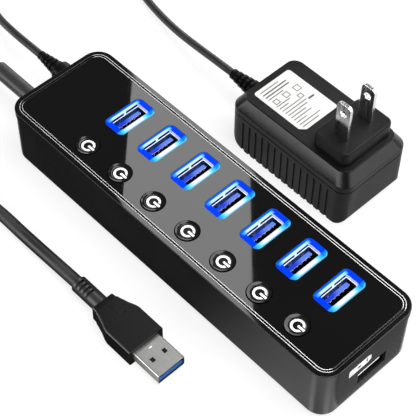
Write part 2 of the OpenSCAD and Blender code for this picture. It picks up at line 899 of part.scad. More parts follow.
module supply_transformer() {
    base = supply_board_z + board_t;
    core_gap = 13;
    core = 16;
    core_h = 13;
    can_d = 11;
    can_h = 14;
    reach = supply_l / 2 - supply_inset - supply_wall;
    color("#c8a43c") translate([supply_mid[0] - reach + core_gap, supply_mid[1] - core / 2, base])
        cube([core, core, core_h]);
    color("#26364a") translate([supply_mid[0] + reach - can_d, supply_mid[1], base])
        cylinder(d = can_d, h = can_h);
}

bottom_case();
top_cover();
face_plate();
trim_ring();
rubber_feet();
case_screws();
main_board();
for (i = [1:port_count]) {
    port_shell(i);
    light_window(i);
    power_button(i);
}
port_tongues();
port_contacts();
switch_bodies();
indicator_leds();
board_chips();
dc_jack();
charge_port_shell();
charge_port_tongue();
data_sleeve();
data_cable_hub_side();
data_cable_coil();
data_cable_plug_side();
data_coil_tie();
data_plug_grip();
data_plug_shell();
data_plug_insulator();
dc_plug_grip();
dc_plug_barrel();
power_cable_hub_side();
power_cable_coil();
power_cable_supply_side();
power_coil_tie();
supply_lower_shell();
supply_upper_shell();
supply_blades();
supply_relief();
supply_label();
supply_board();
supply_transformer();
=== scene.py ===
from math import cos, pi, radians, sin

import bpy
from bpy.props import FloatProperty, FloatVectorProperty, IntProperty, PointerProperty
from mathutils import Matrix, Vector


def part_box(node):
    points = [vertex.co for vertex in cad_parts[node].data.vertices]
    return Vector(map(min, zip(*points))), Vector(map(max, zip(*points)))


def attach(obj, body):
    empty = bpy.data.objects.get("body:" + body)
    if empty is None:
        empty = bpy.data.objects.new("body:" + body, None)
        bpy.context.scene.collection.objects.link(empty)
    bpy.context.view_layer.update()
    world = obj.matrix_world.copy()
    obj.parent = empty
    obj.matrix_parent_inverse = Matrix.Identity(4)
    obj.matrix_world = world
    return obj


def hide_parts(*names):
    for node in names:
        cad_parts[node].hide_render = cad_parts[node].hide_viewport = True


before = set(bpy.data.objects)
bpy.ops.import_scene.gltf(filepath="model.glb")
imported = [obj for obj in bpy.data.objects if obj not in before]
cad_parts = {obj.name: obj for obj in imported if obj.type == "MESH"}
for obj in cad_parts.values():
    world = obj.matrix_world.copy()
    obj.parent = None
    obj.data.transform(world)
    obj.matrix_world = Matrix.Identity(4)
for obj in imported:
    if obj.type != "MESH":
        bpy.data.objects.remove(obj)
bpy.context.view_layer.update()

bl_info = {
    "name": "Powered hub dressing",
    "version": (1, 0, 0),
    "blender": (4, 5, 0),
    "location": "3D View > Sidebar > Hub",
    "description": "Builds the shown pieces, finishes and stage of a powered seven-socket hub",
    "category": "Object",
}

MM = 0.001
HUB, SUPPLY = "hub", "power_supply"
COUNT = 7

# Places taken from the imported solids, in metres
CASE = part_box("bottom_case")
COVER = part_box("top_cover")
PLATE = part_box("face_plate")
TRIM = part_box("trim_ring")
SHELLS = [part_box(f"port_shell_{i}") for i in range(1, COUNT + 1)]
WINDOWS = [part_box(f"light_window_{i}") for i in range(1, COUNT + 1)]
BUTTONS = [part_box(f"power_button_{i}") for i in range(1, COUNT + 1)]
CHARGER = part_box("charge_port_shell")
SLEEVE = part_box("data_sleeve")
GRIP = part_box("data_plug_grip")
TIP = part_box("data_plug_shell")
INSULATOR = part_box("data_plug_insulator")
DC_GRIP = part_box("dc_plug_grip")
DC_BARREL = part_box("dc_plug_barrel")
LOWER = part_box("supply_lower_shell")
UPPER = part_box("supply_upper_shell")
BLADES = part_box("supply_blades")
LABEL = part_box("supply_label")
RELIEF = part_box("supply_relief")
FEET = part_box("rubber_feet")
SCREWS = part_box("case_screws")
# The foot of the charging shell itself, without its tabs
CHARGER_FOOT = CHARGER[1][2] - 5.72 * MM
CASE_ROUND = 6.8 * MM
DATA_CORD, POWER_CORD = 5 * MM, 3.2 * MM
TRIM_ROUND = 5.25 * MM
# Radius of the holes round the buttons, in millimetres
BUTTON_HOLE = 4.7


def middle(box, axis):
    return (box[0][axis] + box[1][axis]) / 2


def centre(box):
    """The middle of a box, seen from above."""
    return middle(box, 0), middle(box, 1)


def corners(box, inside):
    """Four places, this far inside the upright edges of a box."""
    (x0, y0, _), (x1, y1, _) = box
    return [(x, y) for x in (x0 + inside, x1 - inside) for y in (y0 + inside, y1 - inside)]


def grown(box, by, low, high):
    """Corners of a box grown sideways, or shrunk, from one height to another."""
    (x0, y0, _), (x1, y1, _) = box
    return [x0 - by, y0 - by, low], [x1 + by, y1 + by, high]


def about(place, half_x, half_y, low, high):
    """Corners of a block round a place, its half sizes in millimetres."""
    x, y = place
    return ([x - half_x * MM, y - half_y * MM, low], [x + half_x * MM, y + half_y * MM, high])


def mm(*values):
    return [v * MM for v in values]


def grey(level, blue=None):
    """A grey, with a blue part of its own if it is given."""
    return level, level, level if blue is None else blue


def times(factor, colour):
    return [factor * part for part in colour]


# ---------------------------------------------------------------- modelling


def put_down():
    """Leaves edit mode with nothing selected."""
    if bpy.context.object and bpy.context.object.mode != "OBJECT":
        bpy.ops.object.mode_set(mode="OBJECT")
    bpy.ops.object.select_all(action="DESELECT")


def take(piece):
    """Makes one piece the only selected and active one."""
    put_down()
    piece.select_set(True)
    bpy.context.view_layer.objects.active = piece


def settle(name):
    """Names a new primitive and leaves its place in its mesh."""
    piece = bpy.context.object
    bpy.ops.object.transform_apply(location=True, rotation=True, scale=True)
    piece.name = piece.data.name = name
    return piece


def block(name, low, high):
    """A cube primitive from one corner to the other."""
    put_down()
    bpy.ops.mesh.primitive_cube_add(
        size=1,
        location=[(a + b) / 2 for a, b in zip(low, high)],
        scale=[b - a for a, b in zip(low, high)],
    )
    return settle(name)


NEAR = 1e-6
TURNS = {"X": (0, pi / 2, 0), "Y": (-pi / 2, 0, 0), "Z": (0, 0, 0)}


def turned(name, foot, profile, axis="Z", sides=48):
    """A lathe-turned solid: a cone primitive whose end face is extruded and scaled.
    The profile is (height along the axis, radius) pairs from the foot, in millimetres."""
    profile = [(h * MM, r * MM) for h, r in profile]
    (h0, r0), (h1, r1) = profile[:2]
    put_down()
    bpy.ops.mesh.primitive_cone_add(
        vertices=sides, radius1=r0, radius2=r1, depth=h1 - h0,
        location=(0, 0, (h0 + h1) / 2), end_fill_type="NGON",
    )
    piece = settle(name)
    pick(piece, "FACE", lambda c, n: n.z > 0.9 and c.z > h1 - 1e-7)
    for (h, r), (last_h, last_r) in zip(profile[2:], profile[1:]):
        bpy.ops.mesh.extrude_region_move(
            TRANSFORM_OT_translate={"value": (0, 0, h - last_h)}
        )
        bpy.ops.transform.resize(
            value=(r / last_r, r / last_r, 1), center_override=(0, 0, 0)
        )
    put_down()
    take(piece)
    piece.rotation_euler = TURNS[axis]
    piece.location = foot
    bpy.ops.object.transform_apply(location=True, rotation=True, scale=True)
    return piece


def rod(name, foot, radius, length, axis="Z", sides=48):
    return turned(name, foot, [(0, radius), (length, radius)], axis, sides)


def ribs(step, first, more, core, drop, ease, count=5):
    """Profile of a cable relief's ribs: the first rib's width, what each next one adds,
    the radius between them, and how far their edges drop and run."""
    profile = []
    for k in range(count):
        r, a = (first + more * k) / 2, k * step
        profile += [(a + 0.02, r - drop), (a + 0.02 + ease, r), (a + step - 0.82 - ease, r),
                    (a + step - 0.82, r - drop), (a + step - 0.8, core)]
    return profile


def pick(piece, kind, test):
    """Edit mode on one piece, with the faces or edges that pass the test selected."""
    take(piece)
    bpy.ops.object.mode_set(mode="EDIT")
    bpy.ops.mesh.select_mode(type=kind)
    bpy.ops.mesh.select_all(action="DESELECT")
    bpy.ops.object.mode_set(mode="OBJECT")
    mesh = piece.data
    if kind == "FACE":
        for face in mesh.polygons:
            face.select = bool(test(face.center, face.normal))
    else:
        for edge in mesh.edges:
            a, b = (mesh.vertices[i].co for i in edge.vertices)
            edge.select = bool(test(a, b))
    bpy.ops.object.mode_set(mode="EDIT")


def bevel_edges(piece, test, width, segments=4):
    """Rounds the edges that pass the test, in edit mode."""
    pick(piece, "EDGE", test)
    bpy.ops.mesh.bevel(
        offset=width, offset_type="OFFSET", segments=segments, affect="EDGES",
        clamp_overlap=True,
    )
    put_down()
    return piece


def upright(a, b):
    return abs(a.z - b.z) > NEAR and (a.xy - b.xy).length < NEAR / 10


def along(axis):
    """A test for edges that run along an axis."""
    return lambda a, b: abs(a[axis] - b[axis]) > NEAR


def above(axis, place):
    """A test for edges that lie at a place on an axis, or past it."""
    return lambda a, b: min(a[axis], b[axis]) > place - NEAR


def below(axis, place):
    """A test for edges that lie at a place on an axis, or short of it."""
    return lambda a, b: max(a[axis], b[axis]) < place + NEAR


def both(one, other):
    return lambda a, b: one(a, b) and other(a, b)


def facing(axis, sign=1):
    """A test for faces that look along an axis."""
    return lambda c, n: n[axis] * sign > 0.9


def slab(name, low, high, radius, segments=10):
    """A block with round upright corners."""
    return bevel_edges(block(name, low, high), upright, radius, segments)


def sink(piece, test, rim, depth, push=(0, 0, -1)):
    """Insets the faces that pass the test and extrudes them inwards."""
    pick(piece, "FACE", test)
    bpy.ops.mesh.inset(thickness=rim, depth=0, use_even_offset=True)
    bpy.ops.mesh.extrude_region_move(
        TRANSFORM_OT_translate={"value": [depth * p for p in push]}
    )
    put_down()
    return piece


def apply_modifier(piece, kind, **settings):
    """Adds a modifier with these settings and applies it."""
    take(piece)
    bpy.ops.object.modifier_add(type=kind)
    modifier = piece.modifiers[-1]
    for key, value in settings.items():
        setattr(modifier, key, value)
    bpy.ops.object.modifier_apply(modifier=modifier.name)
    return piece


def cut(piece, *tools, how="DIFFERENCE"):
    """Cuts the tools out of a piece, or joins them to it with UNION."""
    for tool in tools:
        apply_modifier(piece, "BOOLEAN", object=tool, operation=how, solver="EXACT")
        bpy.data.objects.remove(tool)
        if len(piece.data.polygons) < 6:
            raise RuntimeError(f"a cut left nothing of {piece.name}")
    return piece


def smooth(piece, angle=35):
    """Smooth shading that keeps sharp edges and lets the large faces stay flat."""
    take(piece)
    bpy.ops.object.shade_smooth_by_angle(angle=radians(angle))
    return apply_modifier(piece, "WEIGHTED_NORMAL", keep_sharp=True)


def round_edges(piece, width, segments=2, angle=32):
    """Rounds every sharp edge of a finished form and smooths its shading."""
    apply_modifier(
        piece, "BEVEL", width=width, segments=segments, limit_method="ANGLE",
        angle_limit=radians(angle), use_clamp_overlap=True,
    )
    return smooth(piece)


def joined(name, *pieces):
    """Several forms as one piece."""
    put_down()
    for piece in pieces:
        piece.select_set(True)
    bpy.context.view_layer.objects.active = pieces[0]
    bpy.ops.object.join()
    pieces[0].name = pieces[0].data.name = name
    return pieces[0]


def copy_of(piece, name, shift):
    """A copy with its own mesh, moved in the mesh."""
    twin = piece.copy()
    twin.data = piece.data.copy()
    twin.name = twin.data.name = name
    bpy.context.scene.collection.objects.link(twin)
    twin.data.transform(Matrix.Translation(shift))
    return twin


def drawn_out(piece, test, steps, pivot):
    """Extrudes one end of a piece in steps of (move, scale), about an axis point."""
    pick(piece, "FACE", test)
    for move, scale in steps:
        bpy.ops.mesh.extrude_region_move(TRANSFORM_OT_translate={"value": move})
        bpy.ops.transform.resize(value=scale, center_override=pivot)
    put_down()
    return piece


def face_out(piece):
    """Merges doubles and turns every face outwards."""
    take(piece)
    bpy.ops.object.mode_set(mode="EDIT")
    bpy.ops.mesh.select_all(action="SELECT")
    bpy.ops.mesh.remove_doubles(threshold=1e-7)
    bpy.ops.mesh.normals_make_consistent(inside=False)
    put_down()
    return piece


def closed(piece, angle=35):
    """A finished form: faces turned outwards and smooth shading."""
    return smooth(face_out(piece), angle)


def coat(piece, *names):
    """Gives a piece its finishes."""
    piece.data.materials.clear()
    for name in names:
        piece.data.materials.append(FINISHES[name])


def dress(node, name):
    """Gives a carried solid its finish."""
    coat(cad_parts[node], name)


def paint(piece, choose):
    """Gives each face the finish whose number its middle and normal call for."""
    for face in piece.data.polygons:
        face.material_index = int(choose(face.center, face.normal))


def finish_piece(piece, names, slot, body, *replaced):
    """Gives a piece its finishes, its body and the solids it stands for; the slot is not used."""
    coat(piece, *([names] if isinstance(names, str) else names))
    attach(piece, body)
    if replaced:
        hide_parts(*replaced)
    return piece


def place_copies(models, boxes, body):
    """Copies each model to every box's middle, in place of the solid that it stands for.
    The box's number goes into the names."""
    x, y = centre(boxes[0])
    for i, box in enumerate(boxes, 1):
        shift = (middle(box, 0) - x, middle(box, 1) - y, 0)
        for model, name, slot, replaced in models:
            piece = copy_of(model, f"{name}_{i}", shift)
            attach(piece, body.format(i))
            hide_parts(replaced.format(i))
    for model, *_ in models:
        bpy.data.objects.remove(model)


# ---------------------------------------------------------------- finishes


class Wiring:
    """A short way to place and join shader nodes in one tree."""

    def __init__(self, tree):
        self.tree = tree

    def node(self, kind, **values):
        made = self.tree.nodes.new(kind)
        for key, value in values.items():
            if hasattr(made, key):
                setattr(made, key, value)
            else:
                self.feed(made.inputs[key.replace("_", " ")], value)
        return made

    def feed(self, socket, value):
        if isinstance(value, bpy.types.NodeSocket):
            self.tree.links.new(value, socket)
        else:
            socket.default_value = value

    def maths(self, operation, a, b=0.0):
        made = self.tree.nodes.new("ShaderNodeMath")
        made.operation = operation
        self.feed(made.inputs[0], a)
        self.feed(made.inputs[1], b)
        return made.outputs[0]

    def spread(self, value, low, high, to_low=0.0, to_high=1.0):
        made = self.tree.nodes.new("ShaderNodeMapRange")
        made.interpolation_type = "SMOOTHSTEP"
        for socket, given in zip(made.inputs, (value, low, high, to_low, to_high)):
            self.feed(socket, given)
        return made.outputs[0]

    def noise(self, vector, scale, detail, low, high):
        """Noise of one scale, drawn apart to a mask."""
        made = self.node("ShaderNodeTexNoise", Vector=vector, Scale=scale, Detail=detail)
        return self.spread(made.outputs["Fac"], low, high)

    def share(self, a, part_a, b, part_b):
        """Two masks added, each by its part."""
        return self.maths("ADD", self.maths("MULTIPLY", a, part_a),
                          self.maths("MULTIPLY", b, part_b))

    def stretched(self, vector, scale):
        made = self.node("ShaderNodeVectorMath", operation="MULTIPLY")
        self.feed(made.inputs[0], vector)
        self.feed(made.inputs[1], scale)
        return made.outputs[0]

    def parted(self, vector):
        return self.node("ShaderNodeSeparateXYZ", Vector=vector).outputs[:]

    def mix(self, factor, a, b, how="MIX"):
        made = self.tree.nodes.new("ShaderNodeMix")
        made.data_type, made.blend_type = "RGBA", how
        self.feed(made.inputs[0], factor)
        self.feed(made.inputs[6], a)
        self.feed(made.inputs[7], b)
        return made.outputs[2]

    def ramp(self, value, *stops):
        made = self.tree.nodes.new("ShaderNodeValToRGB")
        band = made.color_ramp.elements
        while len(band) < len(stops):
            band.new(0.5)
        for element, (place, colour) in zip(band, stops):
            element.position = place
        for element, (place, colour) in zip(band, stops):
            element.color = rgba(colour)
        self.feed(made.inputs[0], value)
        return made.outputs[0]


def rgba(colour):
    return (*colour[:3], 1.0)


def new_group(name, inputs, outputs):
    """An empty shader node group with named sockets."""
    tree = bpy.data.node_groups.new(name, "ShaderNodeTree")
    for socket, kind, default in inputs:
        made = tree.interface.new_socket(socket, in_out="INPUT", socket_type=kind)
        if default is not None:
            made.default_value = default
    for socket, kind in outputs:
        tree.interface.new_socket(socket, in_out="OUTPUT", socket_type=kind)
    wiring = Wiring(tree)
    return tree, wiring, wiring.node("NodeGroupInput"), wiring.node("NodeGroupOutput")


NUMBER, COLOUR, VECTOR = "NodeSocketFloat", "NodeSocketColor", "NodeSocketVector"


def give_out(w, given, out, tone, rough):
    """Colour between a group's two tones by one mask, roughness by another."""
    w.feed(out.inputs["Colour"], w.mix(tone, given.outputs["Deep"], given.outputs["Lit"]))
    span = w.maths("SUBTRACT", given.outputs["Rough"], given.outputs["Smooth"])
    w.feed(out.inputs["Roughness"],
           w.maths("ADD", given.outputs["Smooth"], w.maths("MULTIPLY", rough, span)))


def tones(deep, lit, least, most):
    """The sockets that every group has: where, two colours and two roughnesses."""
    return [("Vector", VECTOR, None), ("Deep", COLOUR, rgba(grey(deep))),
            ("Lit", COLOUR, rgba(grey(lit))), ("Smooth", NUMBER, least), ("Rough", NUMBER, most)]


def moulded_group():
    """Fine moulded skin: a soft mottle, a close grain and its height."""
    tree, w, given, out = new_group(
        "Moulded skin", tones(0, 0.1, 0.3, 0.5) + [("Grain", NUMBER, 2500.0)],
        [("Colour", COLOUR), ("Roughness", NUMBER), ("Height", NUMBER)])
    fine = w.noise(given.outputs["Vector"], given.outputs["Grain"], 2.0, 0.3, 0.7)
    soft = w.noise(given.outputs["Vector"], 55.0, 4.0, 0.35, 0.65)
    give_out(w, given, out, w.share(fine, 0.45, soft, 0.55), soft)
    w.feed(out.inputs["Height"], fine)
    return tree


def polished_group():
    """A glossy moulding: faint haze and hair-fine rub marks in the roughness."""
    tree, w, given, out = new_group("Polished face", tones(0, 0.02, 0.03, 0.08),
                                    [("Colour", COLOUR), ("Roughness", NUMBER)])
    stretch = w.node("ShaderNodeMapping", Vector=given.outputs["Vector"], Scale=(40.0, 900.0, 40.0))
    rubs = w.noise(stretch.outputs[0], 2.0, 3.0, 0.58, 0.8)
    haze = w.noise(given.outputs["Vector"], 26.0, 3.0, 0.35, 0.7)
    give_out(w, given, out, haze, w.share(rubs, 0.35, haze, 0.65))
    return tree


def brushed_group():
    """Rolled and brushed sheet: fine lines along one direction."""
    tree, w, given, out = new_group(
        "Brushed sheet",
        tones(0.4, 0.8, 0.2, 0.4) + [("Lines", VECTOR, (60.0, 2600.0, 2600.0))],
        [("Colour", COLOUR), ("Roughness", NUMBER), ("Height", NUMBER)])
    scaled = w.stretched(given.outputs["Vector"], given.outputs["Lines"])
    cloud = w.node("ShaderNodeTexNoise", Vector=given.outputs["Vector"], Scale=180.0, Detail=2.0)
    lines = w.noise(scaled, 1.0, 3.0, 0.3, 0.7)
    give_out(w, given, out, w.share(lines, 0.6, cloud.outputs["Fac"], 0.4), lines)
    w.feed(out.inputs["Height"], lines)
    return tree


MAKERS = {"moulded": moulded_group, "polished": polished_group, "brushed": brushed_group}
GROUPS = {}


def new_finish(name, **shader_values):
    """A material with its Principled shader and these values on its own sockets."""
    material = bpy.data.materials.new(name)
    material.use_nodes = True
    w = Wiring(material.node_tree)
    shader = material.node_tree.nodes["Principled BSDF"]
    for key, value in shader_values.items():
        shader.inputs[key.replace("_", " ")].default_value = value
    place = w.node("ShaderNodeTexCoord")
    return material, w, shader, place.outputs["Object"]


def use_group(w, name, vector, **values):
    """Places a shared group, which is built at its first use."""
    if name not in GROUPS:
        GROUPS[name] = MAKERS[name]()
    made = w.tree.nodes.new("ShaderNodeGroup")
    made.node_tree = GROUPS[name]
    w.feed(made.inputs["Vector"], vector)
    for key, value in values.items():
        w.feed(made.inputs[key], value)
    return made


def bumped(w, shader, height, distance):
    bump = w.node("ShaderNodeBump", Strength=1.0, Distance=distance)
    w.feed(bump.inputs["Height"], height)
    w.feed(shader.inputs["Normal"], bump.outputs[0])


def wear(w, shader, skin, height=0):
    """Colour, roughness and relief of a group on a shader."""
    w.feed(shader.inputs["Base Color"], skin.outputs["Colour"])
    w.feed(shader.inputs["Roughness"], skin.outputs["Roughness"])
    if height:
        bumped(w, shader, skin.outputs["Height"], height)


def moulded(name, deep, lit, smooth_r, rough_r, shine=0.5, grain=2500.0, height=0.00001):
    """Satin or matt moulded plastic or rubber."""
    material, w, shader, vector = new_finish(name, Specular_IOR_Level=shine)
    wear(w, shader, use_group(w, "moulded", vector, Grain=grain, Deep=rgba(deep), Lit=rgba(lit),
                              Smooth=smooth_r, Rough=rough_r), height)
    return material


def polished(name, deep, haze, smooth_r, rough_r, shine):
    """Glossy moulded plastic."""
    material, w, shader, vector = new_finish(name, Specular_IOR_Level=shine)
    wear(w, shader, use_group(w, "polished", vector, Deep=rgba(deep), Lit=rgba(haze),
                              Smooth=smooth_r, Rough=rough_r))
    return material


def brushed(name, dark, bright, smooth_r, rough_r, lines):
    """Plated or rolled metal, with its brushing along one direction."""
    material, w, shader, vector = new_finish(name, Metallic=1.0)
    wear(w, shader, use_group(w, "brushed", vector, Lines=lines, Deep=rgba(dark),
                              Lit=rgba(bright), Smooth=smooth_r, Rough=rough_r), 0.000004)
    return material


def lit_up(w, shader, base, light, strength):
    """A surface that gives its own light."""
    w.feed(shader.inputs["Base Color"], base)
    w.feed(shader.inputs["Emission Color"], light)
    shader.inputs["Emission Strength"].default_value = strength


def window_finish(name, glow):
    """Lit window: deep blue short ends, a white-hot long side and a paler one opposite.
    It reads the window's own map, across the socket in X and along it in Y."""
    material, w, shader, _ = new_finish(name, Roughness=0.3, Specular_IOR_Level=0.01)
    across, along, _ = w.parted(w.node("ShaderNodeUVMap", uv_map="window").outputs[0])
    blue, azure, cyan = (0.0, 0.05, 1.0), (0.0, 0.22, 1.0), (0.08, 0.8, 1.0)
    white, pale = (1.0, 1.0, 1.0), (0.7, 1.0, 0.9)
    hot = w.ramp(along, (0.03, (0.02, 0.3, 1.0)), (0.13, cyan), (0.27, white), (0.64, white),
                 (0.76, cyan), (0.87, azure), (0.97, (0.0, 0.26, 1.0)))
    hot = w.mix(w.spread(across, 0.94, 0.99), hot, rgba((0.12, 0.6, 0.9)))
    cool = w.ramp(along, (0.05, blue), (0.13, (0.1, 0.5, 1.0)), (0.2, pale), (0.76, pale),
                  (0.86, (0.25, 0.9, 1.0)), (0.93, blue))
    cool = w.mix(w.spread(across, 0.075, 0.12), rgba((0.0, 0.14, 0.85)), cool)
    colour = w.mix(w.spread(across, 0.78, 0.8), rgba(blue), hot)
    colour = w.mix(w.spread(across, 0.225, 0.215), colour, cool)
    edge = w.maths("MAXIMUM", w.spread(across, 0.025, 0.0), w.spread(along, 0.985, 1.0))
    colour = w.mix(edge, colour, rgba((0.0, 0.07, 0.55)))
    corner = w.maths("MULTIPLY", w.spread(across, 0.84, 0.96), w.spread(along, 0.86, 0.97))
    lit_up(w, shader, w.mix(edge, rgba((0.0, 0.004, 0.03)), rgba((0.0, 0.002, 0.01))),
           w.mix(corner, colour, rgba((0.1, 0.8, 1.0))), glow)
    return material


def tongue_finish(name):
    """Blue tongue with painted light, as if lit by its window: it gives its own light, paler
    towards the far end.
    """
    material, w, shader, vector = new_finish(name, Roughness=0.3, Specular_IOR_Level=0.1)
    mid = middle(SHELLS[0], 1)
    # Painted light: the glow grows paler along Y towards the far end
    pale = w.spread(w.parted(vector)[1], mid - 2.5 * MM, mid + 2.0 * MM)
    lit_up(w, shader, w.mix(pale, rgba((0.001, 0.006, 0.09)), rgba((0.02, 0.03, 0.12))),
           w.mix(pale, rgba((0.003, 0.04, 0.62)), rgba((0.11, 0.21, 0.72))), 1.0)
    return material


def trim_finish(name):
    """Bright plated line, with painted shade that darkens its colour where it turns into the short
    ends.
    """
    material, w, shader, vector = new_finish(name, Metallic=1.0)
    sheet = use_group(w, "brushed", vector, Lines=(200.0, 200.0, 200.0), Deep=rgba(grey(0.56)),
                      Lit=rgba(grey(0.76)), Smooth=0.46, Rough=0.54)
    wear(w, shader, sheet, 0.000002)
    # Painted shade: past the corners' turn the colour goes to a dark grey along the short ends
    place = w.parted(vector)
    past = [w.maths("SUBTRACT", w.maths("ABSOLUTE", place[i]), TRIM[1][i] - TRIM_ROUND)
            for i in (0, 1)]
    turn = w.maths("DIVIDE", w.maths("MAXIMUM", past[1], 0.0), w.maths("MAXIMUM", past[0], 0.0001))
    w.feed(shader.inputs["Base Color"],
           w.mix(w.spread(turn, 0.15, 0.6), rgba(grey(0.07)), sheet.outputs["Colour"]))
    return material


def glow_finish(name, colour, strength, base, rough=0.35, shine=0.5):
    """A lit inner part: its own light, uneven by a soft cloud."""
    material, w, shader, vector = new_finish(name, Roughness=rough, Specular_IOR_Level=shine)
    tone = w.noise(vector, 700.0, 2.0, 0.3, 0.7)
    lit_up(w, shader, w.mix(tone, rgba(times(0.7, base)), rgba(base)),
           w.mix(tone, rgba(times(0.7, colour)), rgba(colour)), strength)
    return material


def cord_finish(name, deep, pale):
    """Cable sheath: a drawn sheen along the cable and a fine matt skin, on its own map."""
    material, w, shader, _ = new_finish(name, Specular_IOR_Level=0.55)
    chart = w.node("ShaderNodeUVMap", uv_map="cord").outputs[0]
    lines = w.node("ShaderNodeTexNoise", Vector=w.stretched(chart, (30.0, 45.0, 1.0)), Scale=1.0,
                   Detail=2.0).outputs["Fac"]
    skin = use_group(w, "moulded", chart, Grain=420.0, Deep=rgba(deep), Lit=rgba(pale),
                     Smooth=0.34, Rough=0.5)
    w.feed(shader.inputs["Base Color"], skin.outputs["Colour"])
    w.feed(shader.inputs["Roughness"],
           w.maths("ADD", skin.outputs["Roughness"], w.maths("MULTIPLY", lines, 0.1)))
    bumped(w, shader, lines, 0.00003)
    return material


def board_finish(name, mask, track):
    """Circuit board: solder mask with a lattice of tracks under it."""
    material, w, shader, vector = new_finish(name, Specular_IOR_Level=0.4)
    brick = w.node("ShaderNodeTexBrick", Vector=vector, Scale=260.0, Mortar_Size=0.06,
                   Color1=rgba(mask), Color2=rgba(times(0.8, mask)), Mortar=rgba(track))
    skin = use_group(w, "moulded", vector, Grain=1200.0, Deep=rgba(grey(0.6)), Lit=rgba(grey(1)),
                     Smooth=0.25, Rough=0.45)
    wear(w, shader, skin)
    w.feed(shader.inputs["Base Color"],
           w.mix(1.0, brick.outputs["Color"], skin.outputs["Colour"], "MULTIPLY"))
    return material


FINISHES = {}

# The finish's key, its material and two tones, the least and the most roughness,
# and then its shine, its grain and the height of that grain
MOULDED = (
    # Painted reflection: a lighter grey for the groove at the trim's near end
    ("trim end", "trim end channel", grey(0.16), grey(0.22), 0.4, 0.5, 0.2, 600, 2e-6),
    # Painted shade at the foot of the socket tongues
    ("tongue root", "socket tongue root", (0, 0.001, 0.006), (0.001, 0.002, 0.012), 0.5, 0.6, 0.1),
    # Painted shade on the socket contacts
    ("contact", "contact channel", (0, 0.001, 0.004), (0.002, 0.003, 0.01), 0.5, 0.6, 0.05),
    ("button", "button cap black", grey(0.004), grey(0.009), 0.22, 0.3, 0.06, 3600, 2e-6),
    # Black of the hidden power jack, and painted shade on one socket wall and on the charging
    # tongue
    ("socket dark", "charging socket black", grey(0.004), grey(0.012), 0.35, 0.5, 0.2),
    ("rubber", "foot rubber", grey(0.012), grey(0.03), 0.6, 0.8, 0.3, 1500, 2e-5),
    # Painted highlight on the plug grip's upper bevels that face the near side and the front
    ("grip edge", "plug grip edge", grey(0.012), grey(0.02), 0.24, 0.3, 0.9, 1500, 4e-6),
    ("sleeve", "plug sleeve", grey(0.016, 0.0165), grey(0.026, 0.0265), 0.34, 0.42, 0.6, 1500,
     8e-6),
    ("grip", "plug grip", grey(0.003, 0.0032), grey(0.007, 0.0073), 0.26, 0.34, 0.11, 1500,
     1.2e-5),
    # Dark print of the battery sign, and painted shade on the trim's ends, inside the plug shell
    # and under its top
    ("slot dark", "slot dark", grey(0.002), grey(0.006), 0.5, 0.7, 0.2),
    ("blue plastic", "plug insulator blue", (0.05, 0.2, 0.72), (0.08, 0.28, 0.85), 0.35, 0.5),
    ("tie", "cable tie", grey(0.008), grey(0.02), 0.45, 0.6),
    ("supply", "supply textured black", grey(0.005), grey(0.013), 0.34, 0.46, 0.11, 1300, 2e-5),
    ("supply edge", "supply polished edge", grey(0.002), grey(0.006), 0.22, 0.3, 0.4, 1300, 4e-6),
    ("label", "label white", grey(0.74, 0.73), grey(0.84, 0.83), 0.4, 0.5, 0.5, 900, 2e-6),
    ("ink", "label ink", grey(0.02), grey(0.05), 0.5, 0.6),
    ("core", "transformer wrap", (0.42, 0.3, 0.06), (0.62, 0.46, 0.12), 0.4, 0.6),
    ("switch", "switch body", grey(0.05, 0.055), grey(0.1, 0.105), 0.4, 0.6),
)
# The same for metals, with the scale of the brushing along each axis
BRUSHED = (
    ("shell", "socket plating", (0.62, 0.63, 0.68), (0.92, 0.93, 0.97), 0.14, 0.26,
     (2400, 60, 60)),
    ("contact tip", "contact tip", (0.2, 0.21, 0.26), (0.4, 0.42, 0.5), 0.4, 0.5, (1200, 60, 60)),
    # Painted shade: the charging shell's metal darkened to near black
    ("dark shell", "charging socket shell", grey(0.02, 0.021), grey(0.05, 0.052), 0.3, 0.45,
     (60, 60, 2400)),
    ("steel", "screw steel", grey(0.3), grey(0.6), 0.25, 0.4, (900, 900, 60)),
    ("plug metal", "plug shell steel", grey(0.16, 0.155), grey(0.26, 0.25), 0.3, 0.42,
     (60, 3000, 3000)),
    # Painted highlight: a lighter copy of the plug shell's steel for its near side and slit
    ("plug side", "plug shell lit side", grey(0.86, 0.85), grey(0.95, 0.94), 0.3, 0.42,
     (60, 3000, 3000)),
    ("blade", "blade plating", grey(0.5), grey(0.9, 0.89), 0.12, 0.28, (3000, 3000, 90)),
)
# For what gives its own light, real or painted: its light and the light's strength, its own colour,
# roughness and shine
LIT = (
    # Painted highlight: the rims of the socket shells and of the charging shell give their own
    # light
    ("rim", "socket lit rim", (0.9, 0.92, 1.0), 0.8, grey(0.5), 0.3),
    # Painted light: the inner walls of the socket shells give a blue light of their own
    ("spring", "socket inner wall", (0.0, 0.012, 0.07), 1.0, (0.004, 0.01, 0.05), 0.4),
    ("window end wall", "window end wall", (0.6, 0.72, 1.0), 0.85, (0.1, 0.1, 0.3), 0.5),
    ("window wall", "window inner wall", (0.004, 0.001, 0.2), 1.0, (0.0, 0.0, 0.04), 0.5, 0.0),
    # Painted highlight: the tongues' top edge gives its own light
    ("tongue edge", "socket tongue lit edge", (0.9, 0.92, 1.0), 0.85, (0.7, 0.75, 0.95)),
    ("symbol", "symbol white", grey(0.95), 0.5, grey(0.85), 0.5),
    # White print of the battery sign, and the painted highlight above the charging opening
    ("print", "print white", grey(0.95), 0.8, grey(0.8), 0.5),
    ("lamp", "indicator light", (0.3, 0.5, 1.0), 3.0, (0.8, 0.85, 1.0)),
)


